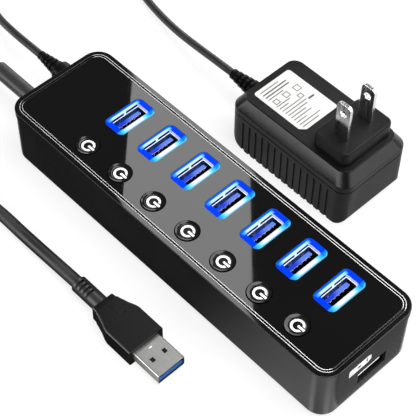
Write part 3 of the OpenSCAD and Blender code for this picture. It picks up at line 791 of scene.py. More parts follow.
def mix_finishes(look):
    """Builds every finish once, from the tables and the colours in the panel."""
    f, black = FINISHES, look.plate_colour
    for key, name in (("case", "case satin black"), ("cover side", "cover side black")):
        f[key] = moulded(name, times(0.8, look.case_colour), times(1.3, look.case_colour),
                         0.26, 0.34, look.case_shine, 3200, 4e-6)
    f["cover"] = polished("cover gloss black", black, times(2.0, black), 0.04, 0.09,
                          look.plate_shine)
    f["plate"] = polished("face plate gloss black", black, times(1.6, black), 0.02, 0.05,
                          look.plate_shine)
    f["groove"] = polished("trim groove black", grey(0.002), grey(0.006), 0.1, 0.2, 0.1)
    f["button wall"] = polished("button cap wall", grey(0.004), grey(0.008), 0.13, 0.17, 0.35)
    f["trim"] = trim_finish("trim bright edge")
    f["window"] = window_finish("lit window", look.glow)
    f["tongue"] = tongue_finish("socket tongue blue")
    f["cord"] = cord_finish("cable sheath", grey(0.01, 0.0105), grey(0.022, 0.0225))
    f["board"] = board_finish("main board", (0.012, 0.11, 0.05), (0.03, 0.2, 0.09))
    f["tan board"] = board_finish("supply board", (0.35, 0.22, 0.08), (0.5, 0.34, 0.14))
    for make, table in ((moulded, MOULDED), (brushed, BRUSHED), (glow_finish, LIT)):
        for key, *values in table:
            f[key] = make(*values)


# ---------------------------------------------------------------- sizes and colours


class HubColours(bpy.types.PropertyGroup):
    """Colours and lights of the whole set."""

    case_colour: FloatVectorProperty(
        name="Case", description="Satin plastic of the lower case", subtype="COLOR",
        size=3, default=(0.009, 0.009, 0.0092))
    plate_colour: FloatVectorProperty(
        name="Face plate", description="Gloss plastic of the cover and the face plate",
        subtype="COLOR", size=3, default=(0.002, 0.002, 0.0021))
    case_shine: FloatProperty(
        name="Case shine", description="Strength of the case's reflections",
        subtype="FACTOR", min=0, max=1, default=0.3)
    plate_shine: FloatProperty(
        name="Plate shine", description="Strength of the face plate's reflections",
        subtype="FACTOR", min=0, max=1, default=0.45)
    glow: FloatProperty(
        name="Window glow", description="Strength of the light in the windows",
        min=0, max=20, default=1.0)


class HubSizes(bpy.types.PropertyGroup):
    """Sizes that are seen and not packed with the solids."""

    case_round: FloatProperty(
        name="Case lower edge", description="Rounding of the case's lower edge",
        subtype="DISTANCE", unit="LENGTH", min=0.0002, max=0.0018, default=0.0014)
    cover_round: FloatProperty(
        name="Cover upper edge", description="Rounding of the cover's upper edge",
        subtype="DISTANCE", unit="LENGTH", min=0.0002, max=0.0014, default=0.0003)
    trim_edge: FloatProperty(
        name="Trim bright edge", description="Width of each bright line of the trim",
        subtype="DISTANCE", unit="LENGTH", min=0.0001, max=0.0005, default=0.00023)
    cord_sides: IntProperty(
        name="Cable sides", description="Sides of a cable's section", min=8, max=24, default=14)
    mark_width: FloatProperty(
        name="Mark stroke", description="Width of the standby mark's line",
        subtype="DISTANCE", unit="LENGTH", min=0.0003, max=0.0012, default=0.00085)


def look():
    return bpy.context.scene.hub_colours


def sizes():
    return bpy.context.scene.hub_sizes


# ---------------------------------------------------------------- stage


def aim(thing, target):
    """Turns a lamp so that it shines at a point."""
    way = Vector(target) - Vector(thing.location)
    thing.rotation_euler = way.to_track_quat("-Z", "Y").to_euler()


# Name, place, width, power and the point that it lights, in metres and watts
LAMPS = (
    ("top light", (0.4, 0.1, 1.3), 0.9, 15.0, (0, 0, 0)),
    ("front light", (1.0, 0.1, 0.45), 0.4, 0.7, (0.08, 0, 0.01)),
    ("side light", (-0.3, -1.1, 0.5), 0.5, 5.0, (0, 0.02, 0)),
    ("back light", (0.2, 1.2, 0.8), 0.6, 8.0, (0, 0.03, 0)),
)
# Name, light and corners in millimetres. The light of the dark card rises along X, from
# the first pair of place and strength to the second
CARDS = (
    ("gloss card", 5.0, ((-305.2, 230, 300.8), (-134.6, 60, 300.8), (-19.7, 60, 300.8),
                         (-197.9, 230, 300.8))),
    ("crescent card", 5.0, ((-2, 108, 300.8), (260, 108, 300.8), (260, 640, 300.8),
                            (-220, 640, 300.8), (-140, 450, 300.8), (-90, 315, 300.8),
                            (-66, 245, 300.8), (-2, 205, 300.8))),
    ("back card", 3.2, ((-1000, 700, 150), (-250, 700, 150), (-250, 700, 430),
                        (-1000, 700, 430))),
    ("side card", 3.6, ((-520, -330, 4), (260, -330, 4), (260, -330, 230), (-520, -330, 230))),
    ("end card", 2.2, ((400, 60, 15), (400, 400, 15), (400, 400, 280), (400, 60, 280))),
    ("dark card", 0.0, ((-150, -130, 0.2), (82, -130, 0.2), (82, -22.4, 0.2),
                        (-150, -22.4, 0.2)), (10, 0.06), (74, 0.8)),
    ("front card", 0.34, ((83, -13, 0.2), (150, -13, 0.2), (150, 90, 0.2), (83, 90, 0.2))),
)
WHITE, BLACK = (1, 1, 1, 1), (0, 0, 0, 1)
ROOM_LIGHT = 0.16
PAPER = 0.26
# What the paper adds to its own colour for the camera and in mirrors
PAPER_GLOW = 0.79
# Metres, degrees and millimetres
CAMERA_PLACE, CAMERA_TURN = (0.21818, -0.20947, 0.41242), (37.7416, -0.5674, 46.5316)
CAMERA_LENS = 119.583


class HUB_OT_stage(bpy.types.Operator):
    """Floor, soft lamps, the panel that the gloss shows, and the camera"""

    bl_idname = "hub.stage"
    bl_label = "Stage"

    def execute(self, context):
        scene = context.scene
        scene.view_settings.view_transform = "Standard"
        put_down()
        bpy.ops.mesh.primitive_plane_add(size=24, location=(0, 0, 0))
        floor = settle("floor")
        floor.data.materials.append(self.floor_paper())
        for name, place, size, power, target in LAMPS:
            put_down()
            bpy.ops.object.light_add(type="AREA", location=place)
            lamp = context.object
            lamp.name = name
            lamp.data.shape, lamp.data.size, lamp.data.energy = "SQUARE", size, power
            lamp.visible_camera = False
            lamp.visible_glossy = name != "side light"
            aim(lamp, target)
        for card in CARDS:
            self.card(*card)
        for low, high in ((68, 82), (22, 38)):
            self.card("corner card", 1.9, [self.corner(a, out) for a, out in
                                           ((low, 0), (low, 29), (high, 29), (high, 0))])
        world = scene.world or bpy.data.worlds.new("room")
        scene.world = world
        world.use_nodes = True
        room = world.node_tree.nodes["Background"]
        room.inputs[0].default_value = WHITE
        room.inputs[1].default_value = ROOM_LIGHT
        put_down()
        bpy.ops.object.camera_add(location=CAMERA_PLACE,
                                  rotation=[radians(a) for a in CAMERA_TURN])
        camera = context.object
        camera.name = "camera"
        camera.data.lens, camera.data.sensor_width = CAMERA_LENS, 36
        camera.data.clip_start, camera.data.clip_end = 0.01, 60
        scene.camera = camera
        return {"FINISHED"}

    def floor_paper(self):
        """White paper: the camera and mirrors see it white, with the shadow kept."""
        material, w, shader, _ = new_finish(
            "floor paper", Base_Color=rgba(grey(PAPER)), Emission_Color=WHITE, Roughness=0.9,
            Specular_IOR_Level=0.0)
        ray = w.node("ShaderNodeLightPath")
        seen = w.maths("MAXIMUM", ray.outputs["Is Camera Ray"], ray.outputs["Is Glossy Ray"])
        seen = w.maths("MAXIMUM", seen, ray.outputs["Is Transmission Ray"])
        w.feed(shader.inputs["Emission Strength"], w.maths("MULTIPLY", seen, PAPER_GLOW))
        return material

    def corner(self, angle, out):
        """A floor point that the case's near front corner mirrors, this far out of it."""
        x1, y0, r = CASE[1][0] / MM, CASE[0][1] / MM, CASE_ROUND / MM
        across, down = cos(radians(angle)), -sin(radians(angle))
        eye_x, eye_y = 0.427, -0.41
        towards = eye_x * across + eye_y * down
        way = Vector((2 * towards * across - eye_x, 2 * towards * down - eye_y))
        return (x1 - r + r * across + way.x * out, y0 + r + r * down + way.y * out, 0.4)

    def card(self, name, light, corners, dim=None, bright=None):
        """A flat card that only mirrors see. Its light may run up along X, from dim to bright."""
        mesh = bpy.data.meshes.new(name)
        mesh.from_pydata([mm(*corner) for corner in corners], [], [range(len(corners))])
        card = bpy.data.objects.new(name, mesh)
        bpy.context.scene.collection.objects.link(card)
        material, w, shader, vector = new_finish(
            name, Specular_IOR_Level=0.0, Base_Color=BLACK, Emission_Color=WHITE,
            Emission_Strength=light)
        if dim:
            ramp = w.spread(w.parted(vector)[0], dim[0] * MM, bright[0] * MM, dim[1], bright[1])
            w.feed(shader.inputs["Emission Strength"], ramp)
        mesh.materials.append(material)
        for ray in ("camera", "diffuse", "transmission", "shadow", "volume_scatter"):
            setattr(card, f"visible_{ray}", False)


# ---------------------------------------------------------------- cords


def coil(mid, outer, pitch, columns, thickness, start, total, lift=0.5, steps=16, shift=40.0):
    """Points of a neat round coil: out to in on the first layer, back on the second.
    It changes column over this many degrees of turn."""
    slots = [(outer - k * pitch, 0) for k in range(columns)]
    slots += [(outer - k * pitch, 1) for k in reversed(range(columns))]
    count = round(abs(total) / 360 * steps)
    span, points = abs(total) / len(slots), []
    for i in range(count + 1):
        a = abs(total) * i / count
        radius, layer = slots[min(int(a / span), len(slots) - 1)]
        for b in range(1, len(slots)):
            t = (a - (b * span - shift / 2)) / shift
            if 0 <= t <= 1:
                t = t * t * (3 - 2 * t)
                radius = slots[b - 1][0] * (1 - t) + slots[b][0] * t
                layer = slots[b - 1][1] * (1 - t) + slots[b][1] * t
        turn = radians(start) + (radians(a) if total > 0 else -radians(a))
        points.append((mid[0] + radius * cos(turn), mid[1] + radius * sin(turn),
                       lift + thickness / 2 + layer * pitch))
    return points


def eased(points, parts=3):
    """A smooth curve through the points, as closer points."""
    p = [Vector(q) for q in points]
    p = [2 * p[0] - p[1], *p, 2 * p[-1] - p[-2]]
    out = []
    for i in range(1, len(p) - 2):
        for k in range(parts):
            t = k / parts
            out.append(0.5 * (2 * p[i] + (p[i + 1] - p[i - 1]) * t
                              + (2 * p[i - 1] - 5 * p[i] + 4 * p[i + 1] - p[i + 2]) * t * t
                              + (3 * p[i] - p[i - 1] - 3 * p[i + 1] + p[i + 2]) * t ** 3))
    return out + [p[-2]]


def tube(name, route, thickness, sides):
    """A closed tube along a route, with its own map in metres. Returns it and its line."""
    line = [q * MM for q in eased(route)]
    rings, vertices, faces = len(line), [], []
    for i, point in enumerate(line):
        way = (line[min(i + 1, rings - 1)] - line[max(i - 1, 0)]).normalized()
        side = way.cross(Vector((0, 0, 1))).normalized()
        top = side.cross(way)
        for k in range(sides):
            a = 2 * pi * k / sides
            vertices.append(point + (side * cos(a) + top * sin(a)) * thickness / 2)
    for i in range(rings - 1):
        for k in range(sides):
            a, n = i * sides, (k + 1) % sides
            faces.append((a + k, a + n, a + sides + n, a + sides + k))
    faces.append(tuple(reversed(range(sides))))
    faces.append(tuple(range((rings - 1) * sides, rings * sides)))
    mesh = bpy.data.meshes.new(name)
    mesh.from_pydata(vertices, [], faces)
    chart = mesh.uv_layers.new(name="cord")
    run = [0.0]
    for a, b in zip(line, line[1:]):
        run.append(run[-1] + (b - a).length)
    for face in mesh.polygons:
        for corner in face.loop_indices:
            v = mesh.loops[corner].vertex_index
            k = v % sides
            if k == 0 and face.index % sides == sides - 1:
                k = sides
            chart.data[corner].uv = (run[v // sides], pi * thickness * k / sides)
    piece = bpy.data.objects.new(name, mesh)
    bpy.context.scene.collection.objects.link(piece)
    face_out(piece)
    return smooth(piece, 60), line, run[-1]


def tie(name, node, body):
    """A strap round a coil's turns, with its lock."""
    low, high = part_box(node)
    rim = 0.5 * MM
    strap = bevel_edges(block(name, low, high), along(1), 1.4 * MM, 5)
    inner = block("inner", [low[0] + rim, low[1] - MM, low[2] + rim],
                  [high[0] - rim, high[1] + MM, high[2] - rim])
    cut(strap, bevel_edges(inner, along(1), 1.0 * MM, 5))
    mid = middle((low, high), 0)
    lock = slab("lock", [mid - 2.6 * MM, low[1] - 0.4 * MM, high[2] - 0.2 * MM],
                [mid + 2.6 * MM, high[1] + 0.4 * MM, high[2] + 1.2 * MM], 0.8 * MM, 4)
    sink(lock, facing(2), 1.1 * MM, 0.5 * MM)
    cut(strap, lock, how="UNION")
    round_edges(strap, 0.12 * MM)
    finish_piece(strap, "tie", "grip_black", body, node)


def lay_cord(name, route, thickness, body, *replaced):
    """Makes a cable, and keeps its length and its line in the scene."""
    cord, line, length = tube(name, route, thickness, sizes().cord_sides)
    finish_piece(cord, "cord", "cord_black", body, *replaced)
    bpy.context.scene[name] = [length] + [x for q in line for x in q]


class HUB_OT_data_cord(bpy.types.Operator):
    """Data cable with its spare length in a tied coil"""

    bl_idname = "hub.data_cord"
    bl_label = "Data cable"

    def execute(self, context):
        route = [(-110.2, -7, 14), (-120, -7.5, 12.6), (-130, -10, 9.4), (-139, -13.5, 6),
                 (-147, -17, 3.6)]
        route += coil((-150, -50), outer=31.1, pitch=5.2, columns=3, thickness=5, start=100,
                      total=1970)
        route += [(-140, -81, 8), (-130, -79.5, 6), (-120, -75.5, 3.8), (-111, -69.5, 2.5),
                  (-102, -62.5, 2.5), (-93, -55.5, 2.5), (-83, -50, 2.5), (-72, -47.5, 2.5),
                  (-60, -46.5, 2.5), (-48, -46.5, 2.6), (-36, -46.5, 3), (-25, -46.5, 3.6),
                  (-15.5, -46.5, 4)]
        lay_cord("data_cord", route, DATA_CORD, HUB, "data_cable_hub_side",
                 "data_cable_coil", "data_cable_plug_side")
        tie("data_cord_tie", "data_coil_tie", HUB)
        return {"FINISHED"}


class HUB_OT_power_cord(bpy.types.Operator):
    """Power cable from the supply to the hub with its spare length in a tied coil"""

    bl_idname = "hub.power_cord"
    bl_label = "Power cable"

    def execute(self, context):
        route = [(-104.4, 10, 14), (-112, 10.2, 13.5), (-120, 11, 12), (-128, 12.5, 9.6),
                 (-136, 14.4, 6.9), (-144, 16.8, 4.5), (-152, 19.8, 2.9), (-160, 23.2, 2.1),
                 (-169, 26.2, 2.1)]
        route += coil((-178, 52), outer=25, pitch=3.3, columns=4, thickness=3.2, start=270,
                      total=-2700)
        route += [(-169, 77, 5.3), (-160, 77, 4.2), (-152, 76.9, 2.7), (-144, 76.6, 1.6),
                  (-136, 76, 1.6), (-128, 74.8, 1.6), (-120, 73, 1.6), (-112, 71, 1.9),
                  (-104, 68.8, 2.7), (-96, 66.7, 4), (-88, 64.8, 5.6), (-80, 63.2, 7.3),
                  (-72, 62, 9), (-64, 61, 10.6), (-55, 60.3, 11.9), (-46, 60, 12.5)]
        lay_cord("power_cord", route[::-1], POWER_CORD, SUPPLY, "power_cable_hub_side",
                 "power_cable_coil", "power_cable_supply_side")
        tie("power_cord_tie", "power_coil_tie", SUPPLY)
        return {"FINISHED"}


def declare_cord(name, diameter, *pieces_on_it):
    """Drops the cable's kept length and line from the scene."""
    del bpy.context.scene[name]


# ---------------------------------------------------------------- hub


class HUB_OT_case(bpy.types.Operator):
    """Lower case with its inlets, the charging opening and the recesses below"""

    bl_idname = "hub.case"
    bl_label = "Lower case"

    def execute(self, context):
        back, floor, top = CASE[0][0], CASE[0][2], CASE[1][2]
        case = slab("hub_case", *CASE, CASE_ROUND, 12)
        bevel_edges(case, below(2, floor), sizes().case_round, 5)
        wall = 2.0 * MM
        hollow = slab("hollow", *grown(CASE, -wall, floor + wall, top + wall), 4.8 * MM, 8)
        inlet, end, mouth = middle(SLEEVE, 2), CASE[1][0], CHARGER[1][2]
        holes = [
            rod("sleeve hole", [back - MM, middle(SLEEVE, 1), inlet], 3.12, 4, "X"),
            rod("jack hole", [back - MM, middle(DC_GRIP, 1), inlet], 3.82, 4, "X"),
            block("opening", *about((end - MM, middle(CHARGER, 1)), 2, 6.9,
                                    CHARGER_FOOT - 0.35 * MM, mouth + 0.35 * MM)),
        ]
        for box, part, radius, depth in ((FEET, 4.0, 4.08, 0.5), (SCREWS, 2.2, 2.3, 1.0)):
            for x, y in corners(box, part * MM):
                holes.append(rod("recess", [x, y, floor - MM], radius, depth + 1, "Z", 32))
        cut(case, hollow, *holes)
        round_edges(case, 0.16 * MM)
        finish_piece(case, "case", "case_black", HUB, "bottom_case")
        return {"FINISHED"}


class HUB_OT_cover(bpy.types.Operator):
    """Gloss cover with the tray for the face plate"""

    bl_idname = "hub.cover"
    bl_label = "Cover"

    def execute(self, context):
        seam, plate_z, top = CASE[1][2], PLATE[0][2], COVER[1][2]
        cover = slab("hub_cover", *grown(COVER, 0, seam, top), 7.1 * MM, 14)
        bevel_edges(cover, above(2, top), sizes().cover_round, 5)
        tools = [slab("tray", *grown(TRIM, 0, plate_z, top + MM), TRIM_ROUND, 12),
                 slab("underside", *grown(COVER, -2.5 * MM, seam - MM, plate_z - 1.4 * MM),
                      4.6 * MM, 8)]
        tools += [block("socket hole", *about(centre(box), 2.98, 8.4, seam - MM, top))
                  for box in SHELLS]
        tools += [rod("button hole", [*centre(box), seam - MM], BUTTON_HOLE, 4, "Z", 40)
                  for box in BUTTONS]
        cut(cover, *tools)
        lip = slab("lip", *grown(COVER, -2.5 * MM, seam - 2 * MM, seam + 0.5 * MM), 4.6 * MM, 8)
        cut(lip, slab("inner", *grown(COVER, -3.7 * MM, seam - 3 * MM, seam + MM), 3.4 * MM, 8))
        cut(cover, lip, how="UNION")
        round_edges(cover, 0.1 * MM)
        finish_piece(cover, ("cover", "cover side"), "cover_gloss", HUB, "top_cover")
        paint(cover, lambda c, n: n.z <= 0.35)
        return {"FINISHED"}


class HUB_OT_plate(bpy.types.Operator):
    """Gloss face plate and the bright double line round it"""

    bl_idname = "hub.plate"
    bl_label = "Face plate and trim"

    def execute(self, context):
        plate = slab("hub_face_plate", *PLATE, 4.05 * MM, 12)
        low, high = PLATE[0][2] - MM, PLATE[1][2] + MM
        tools = [slab("window hole", *grown(box, 0.1 * MM, low, high), 2.4 * MM, 8)
                 for box in WINDOWS]
        tools += [rod("button hole", [*centre(box), low], BUTTON_HOLE, (high - low) / MM, "Z", 56)
                  for box in BUTTONS]
        cut(plate, *tools)
        round_edges(plate, 0.1 * MM)
        finish_piece(plate, "plate", "plate_gloss", HUB, "face_plate")
        self.trim()
        return {"FINISHED"}

    def ring(self, name, outer, width, low, high):
        """A rounded frame, this far in from the trim's outer edge."""
        inner = outer + width
        return cut(slab(name, *grown(TRIM, -outer, low, high), TRIM_ROUND - outer, 14),
                   slab("inner", *grown(TRIM, -inner, low - MM, high + MM),
                        TRIM_ROUND - inner, 14))

    def trim(self):
        low, top = TRIM[0][2], TRIM[1][2]
        width, edge = 1.2 * MM, sizes().trim_edge
        trim = self.ring("hub_trim", 0, width, low, top)
        cut(trim, self.ring("groove", edge, width - 2 * edge, top - 0.35 * MM, top + MM))
        round_edges(trim, 0.06 * MM)
        # The end finishes carry the painted reflection and painted shade of the trim's short ends
        finish_piece(trim, ("trim", "groove", "trim end", "slot dark"), "trim_metal", HUB,
                     "trim_ring")
        end, straight = TRIM[1][0], TRIM[1][1] - 5 * MM

        def part(c, n):
            """Bright lines and a dark groove. At the short ends the lines carry painted shade: at
            the far end the inner line is painted groove black, and at the near end both lines are
            painted dark and the middle a lighter grey, a painted reflection, so that the end reads
            as one plain channel.
            """
            short = abs(c.x) > end - 1.3 * MM and abs(c.y) < straight
            if short and c.x > 0:
                return 2 if abs(c.x - end + 0.6 * MM) < 0.36 * MM else 3
            return c.z < top - 0.1 * MM or (short and c.x > 0.6 * MM - end)

        paint(trim, part)


class HUB_OT_sockets(bpy.types.Operator):
    """Seven socket shells with springs, tongues, contacts and lit windows"""

    bl_idname = "hub.sockets"
    bl_label = "Sockets and windows"

    def execute(self, context):
        models = (
            (self.shell(), "socket_shell", "socket_steel", "port_shell_{}"),
            (self.tongue(), "socket_tongue", "tongue_blue", "port_tongues"),
            (self.contacts(), "socket_contacts", "contact_gold", "port_contacts"),
            (self.window(), "lit_window", "window_blue", "light_window_{}"),
        )
        place_copies(models, SHELLS, HUB)
        dress("indicator_leds", "lamp")
        return {"FINISHED"}

    def shell(self):
        (x0, _, z0), (x1, _, z1) = SHELLS[0]
        x, y = centre(SHELLS[0])
        sheet = 0.36 * MM
        shell = slab("shell", *SHELLS[0], 0.7 * MM, 5)
        cut(shell, slab("cavity", *grown(SHELLS[0], -sheet, z0 - MM, z1 + MM), 0.45 * MM, 4))
        springs = []
        for side, wall in ((1, x1 - sheet), (-1, x0 + sheet)):
            for place in (-3.1, 3.1):
                spring = block("spring", *about((wall, y + place * MM), 0.2, 1.0,
                                                z1 - 6.0 * MM, z1 - 1.5 * MM))
                springs.append(sink(spring, facing(0, -side), 0.5 * MM, 0.35 * MM, (-side, 0, 0)))
        joined("shell", shell, *springs)
        round_edges(shell, 0.05 * MM, 2, 40)
        # Steel, painted light on the inner walls, a painted highlight on the rim and painted shade
        # on one wall
        coat(shell, "shell", "spring", "rim", "socket dark")

        def part(c, n):
            """Painted highlight on the rim; painted light on the inner walls, but for the one in
            the shade, which is painted shade.
            """
            if c.z > z1 - 0.08 * MM:
                return 2
            inside = abs(c.x - x) < 2.59 * MM and abs(c.y - y) < 6.29 * MM
            return inside * (1 if n.x > 0.3 or c.x < x - 2 * MM else 3)

        paint(shell, part)
        return shell

    def tongue(self):
        (x, y), z = centre(SHELLS[0]), SHELLS[0][0][2]
        top = SHELLS[0][1][2] - 1.3 * MM
        base = slab("tongue", *about((x, y), 2.46, 6.15, z, z + 3 * MM), 0.3 * MM, 3)
        cut(base, slab("blade", *about((x - 0.9 * MM, y), 0.92, 5.55, z + 2.9 * MM, top),
                       0.3 * MM, 3), how="UNION")
        bevel_edges(base, both(above(2, top), lambda a, b: max(a.x, b.x) < x - 1.5 * MM),
                    0.4 * MM, 2)
        bevel_edges(base, both(above(2, top), lambda a, b: min(a.x, b.x) > x - 0.4 * MM),
                    0.22 * MM, 2)
        closed(base)
        coat(base, "tongue", "tongue edge", "tongue root")
        # Painted shade low on the tongue, and a painted highlight along its top edge
        paint(base, lambda c, n: 2 if c.z < top - 0.5 * MM and n.x > -0.5
              else c.z > top - 0.26 * MM and n.x > 0.2)
        return base

    def contacts(self):
        (x, y), z = centre(SHELLS[0]), SHELLS[0][0][2]
        top = SHELLS[0][1][2] - 1.75 * MM
        strips = []
        for k in range(-2, 3):
            strip = block("strip", *about((x + 0.095 * MM, y + k * 2.1 * MM), 0.075, 0.35,
                                          z + 3 * MM, top))
            strips.append(bevel_edges(
                strip, lambda a, b: above(2, top)(a, b) or min(a.x, b.x) > x + 0.1 * MM,
                0.06 * MM, 2))
        strips = smooth(joined("contacts", *strips))
        # Painted shade: the contact strips are near black below their metal tips
        coat(strips, "contact", "contact tip")
        paint(strips, lambda c, n: c.z > top - 0.1 * MM)
        return strips

    def window(self):
        (x0, y0, z0), (x1, y1, z1) = WINDOWS[0]
        (x, y), plate_z = centre(WINDOWS[0]), PLATE[0][2]
        window = slab("window", *grown(WINDOWS[0], 0, plate_z, z1), 2.3 * MM, 9)
        cut(window, slab("middle", *about((x, y), 2.96, 6.65, plate_z - MM, z1 + MM),
                         0.75 * MM, 4))
        round_edges(window, 0.07 * MM, 2)
        tab = block("tab", *about((x - 2.92 * MM, y), 0.08, 0.5, plate_z + 0.05 * MM,
                                  z1 - 0.1 * MM))
        guides = [slab("guide", *about((x, y + side * 7.6 * MM), 2, 0.6, z0,
                                       plate_z + 0.01 * MM), 0.2 * MM, 2) for side in (-1, 1)]
        joined("window", window, tab, *guides)
        coat(window, "window", "window wall", "window end wall")

        def part(c, n):
            """The walls of the middle opening are darker than the window's face."""
            inside = abs(c.x - x) < 2.98 * MM and abs(c.y - y) < 6.67 * MM and c.z < z1 - 0.07 * MM
            on_tab = abs(c.y - y) < 0.52 * MM and -2.95 * MM < c.x - x < 0
            return (inside and not on_tab) * (2 if c.y > y + 6.2 * MM and n.y < -0.4 else 1)

        paint(window, part)
        layers = window.data.uv_layers
        while layers:
            layers.remove(layers[0])
        chart = layers.new(name="window")
        for corner in window.data.loops:
            v = window.data.vertices[corner.vertex_index].co
            chart.data[corner.index].uv = ((v.x - x0) / (x1 - x0), (v.y - y0) / (y1 - y0))
        return window


class HUB_OT_buttons(bpy.types.Operator):
    """Seven dished buttons, each with its standby mark"""

    bl_idname = "hub.buttons"
    bl_label = "Buttons"

    def execute(self, context):
        (x, y), foot, top = centre(BUTTONS[0]), BUTTONS[0][0][2], BUTTONS[0][1][2]
        flange, rise = (PLATE[0][2] - foot) / MM - 2.7, (top - foot) / MM
        dish = ((0.2, 4.4), (0.06, 4.36), (0, 4.28), (0.03, 4.18), (0.13, 3.92), (0.21, 3.66),
                (0.28, 3.4), (0.33, 3.14), (0.36, 2.88), (0.375, 2.5), (0.38, 1.2))
        cap = turned("cap", (x, y, foot), [
            (0, 1.5), (flange, 1.5), (flange, 5.3), (flange + 1.0, 5.3), (flange + 1.0, 4.4),
            *((rise - drop, r) for drop, r in dish)], "Z", 72)
        closed(cap, 50)
        coat(cap, "button", "button wall")
        paint(cap, lambda c, n: 2.7 * MM < (c.xy - Vector((x, y))).length < 4.25 * MM)
        mark = self.mark(x + 0.3 * MM, y, top - 0.5 * MM, top - 0.24 * MM)
        place_copies(((cap, "button_cap", "button_black", "power_button_{}"),
                      (mark, "button_mark", "led_white", "power_button_{}")),
                     BUTTONS, "button_{}")
        dress("switch_bodies", "switch")
        return {"FINISHED"}

    def mark(self, x, y, low, high):
        """An open ring with a bar, its gap and bar towards the front end."""
        stroke, radius = sizes().mark_width, 2.15 * MM
        ring = rod("mark", (x, y, low), (radius + stroke / 2) / MM, (high - low) / MM, "Z", 56)
        cut(ring, rod("inner", (x, y, low - MM), (radius - stroke / 2) / MM, 3, "Z", 48))
        half = stroke / 2 + 0.5 * MM
        cut(ring, block("gap", (x, y - half, low - MM), (x + 4 * MM, y + half, high + MM)))
        bar = slab("bar", (x + 0.1 * MM, y - stroke / 2, low),
                   (x + radius + 0.95 * MM, y + stroke / 2, high), stroke * 0.3, 4)
        cut(ring, bar, how="UNION")
        closed(ring)
        coat(ring, "symbol")
        return ring


class HUB_OT_front_end(bpy.types.Operator):
    """Charging socket and the battery sign above it"""

    bl_idname = "hub.front_end"
    bl_label = "Front end"

    def execute(self, context):
        (x0, _, z0), (x1, _, z1) = CHARGER
        y, foot, sheet = middle(CHARGER, 1), CHARGER_FOOT, 0.3 * MM
        shell = block("charging_shell", [x0, y - 6.55 * MM, foot], [x1, y + 6.55 * MM, z1])
        bevel_edges(shell, along(0), 0.7 * MM, 5)
        hollow = block("hollow", [x0 - MM, y - 6.25 * MM, foot + sheet],
                       [x1 + MM, y + 6.25 * MM, z1 - sheet])
        cut(shell, bevel_edges(hollow, along(0), 0.45 * MM, 4))
        tabs = [slab("tab", *about((x0 + 6 * MM, y + side * 7.675 * MM), 2, 1.275, z0,
                                   z0 + 0.4 * MM), 0.1 * MM, 2) for side in (-1, 1)]
        cut(shell, *tabs, how="UNION")
        round_edges(shell, 0.05 * MM, 2, 40)
        # Painted shade: the shell's metal is near black; its top front edge carries a painted
        # highlight
        finish_piece(shell, ("dark shell", "rim"), "socket_steel", HUB, "charge_port_shell")
        paint(shell, lambda c, n: c.x > x1 - 0.1 * MM and c.z > z1 - sheet and c.y < 4.5 * MM)
        # Painted highlight: a thin glowing white line along the top edge of the charging opening
        line = self.on_wall("charging_painted_highlight", 0.5, 0.03, (-6.1, z1 / MM - 0.2), (4.5, z1 / MM + 0.3))
        finish_piece(line, "print", "led_white", HUB)
        (back, _, _), (tip, _, _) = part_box("charge_port_tongue")
        z = (foot + z1) / 2
        tongue = block("charging_tongue", [back, y - 6.15 * MM, z - 2.46 * MM],
                       [back + 3 * MM, y + 6.15 * MM, z + 2.46 * MM])
        blade = block("blade", [back + 2.9 * MM, y - 5.55 * MM, z - 0.02 * MM],
                      [tip, y + 5.55 * MM, z + 1.82 * MM])
        cut(tongue, bevel_edges(blade, above(0, tip), 0.25 * MM, 3), how="UNION")
        round_edges(tongue, 0.05 * MM)
        # Painted shade: the charging tongue is near black, as the dark inside of the opening
        finish_piece(tongue, "socket dark", "tongue_white", HUB, "charge_port_tongue")
        self.battery()
        return {"FINISHED"}

    def on_wall(self, name, deep, out, low, high):
        """A block in the end wall, with its corners in millimetres in Y and Z."""
        wall = CASE[1][0]
        return block(name, [wall - deep * MM, *mm(*low)], [wall + out * MM, *mm(*high)])

    def battery(self):
        body = self.on_wall("battery_sign", 0.1, 0.05, (-11.0, 16.9), (-1.0, 20.7))
        bevel_edges(body, along(0), 0.4 * MM, 4)
        tip = self.on_wall("tip", 0.1, 0.05, (-1.05, 17.6), (-0.3, 20.2))
        dot = self.on_wall("dot", 1, 1, (-7.1, 18.3), (-5.1, 19.4))
        bevel_edges(dot, along(0), 0.5 * MM, 5)
        cut(body, dot, self.on_wall("slit", 1, 1, (-2.5, 17.6), (-1.95, 20.0)))
        cut(body, tip, how="UNION")
        finish_piece(closed(body), "print", "led_white", HUB)
        back = self.on_wall("battery_back", 0.05, 0.02, (-8, 17.4), (-1.6, 20.3))
        finish_piece(back, "slot dark", "case_black", HUB)


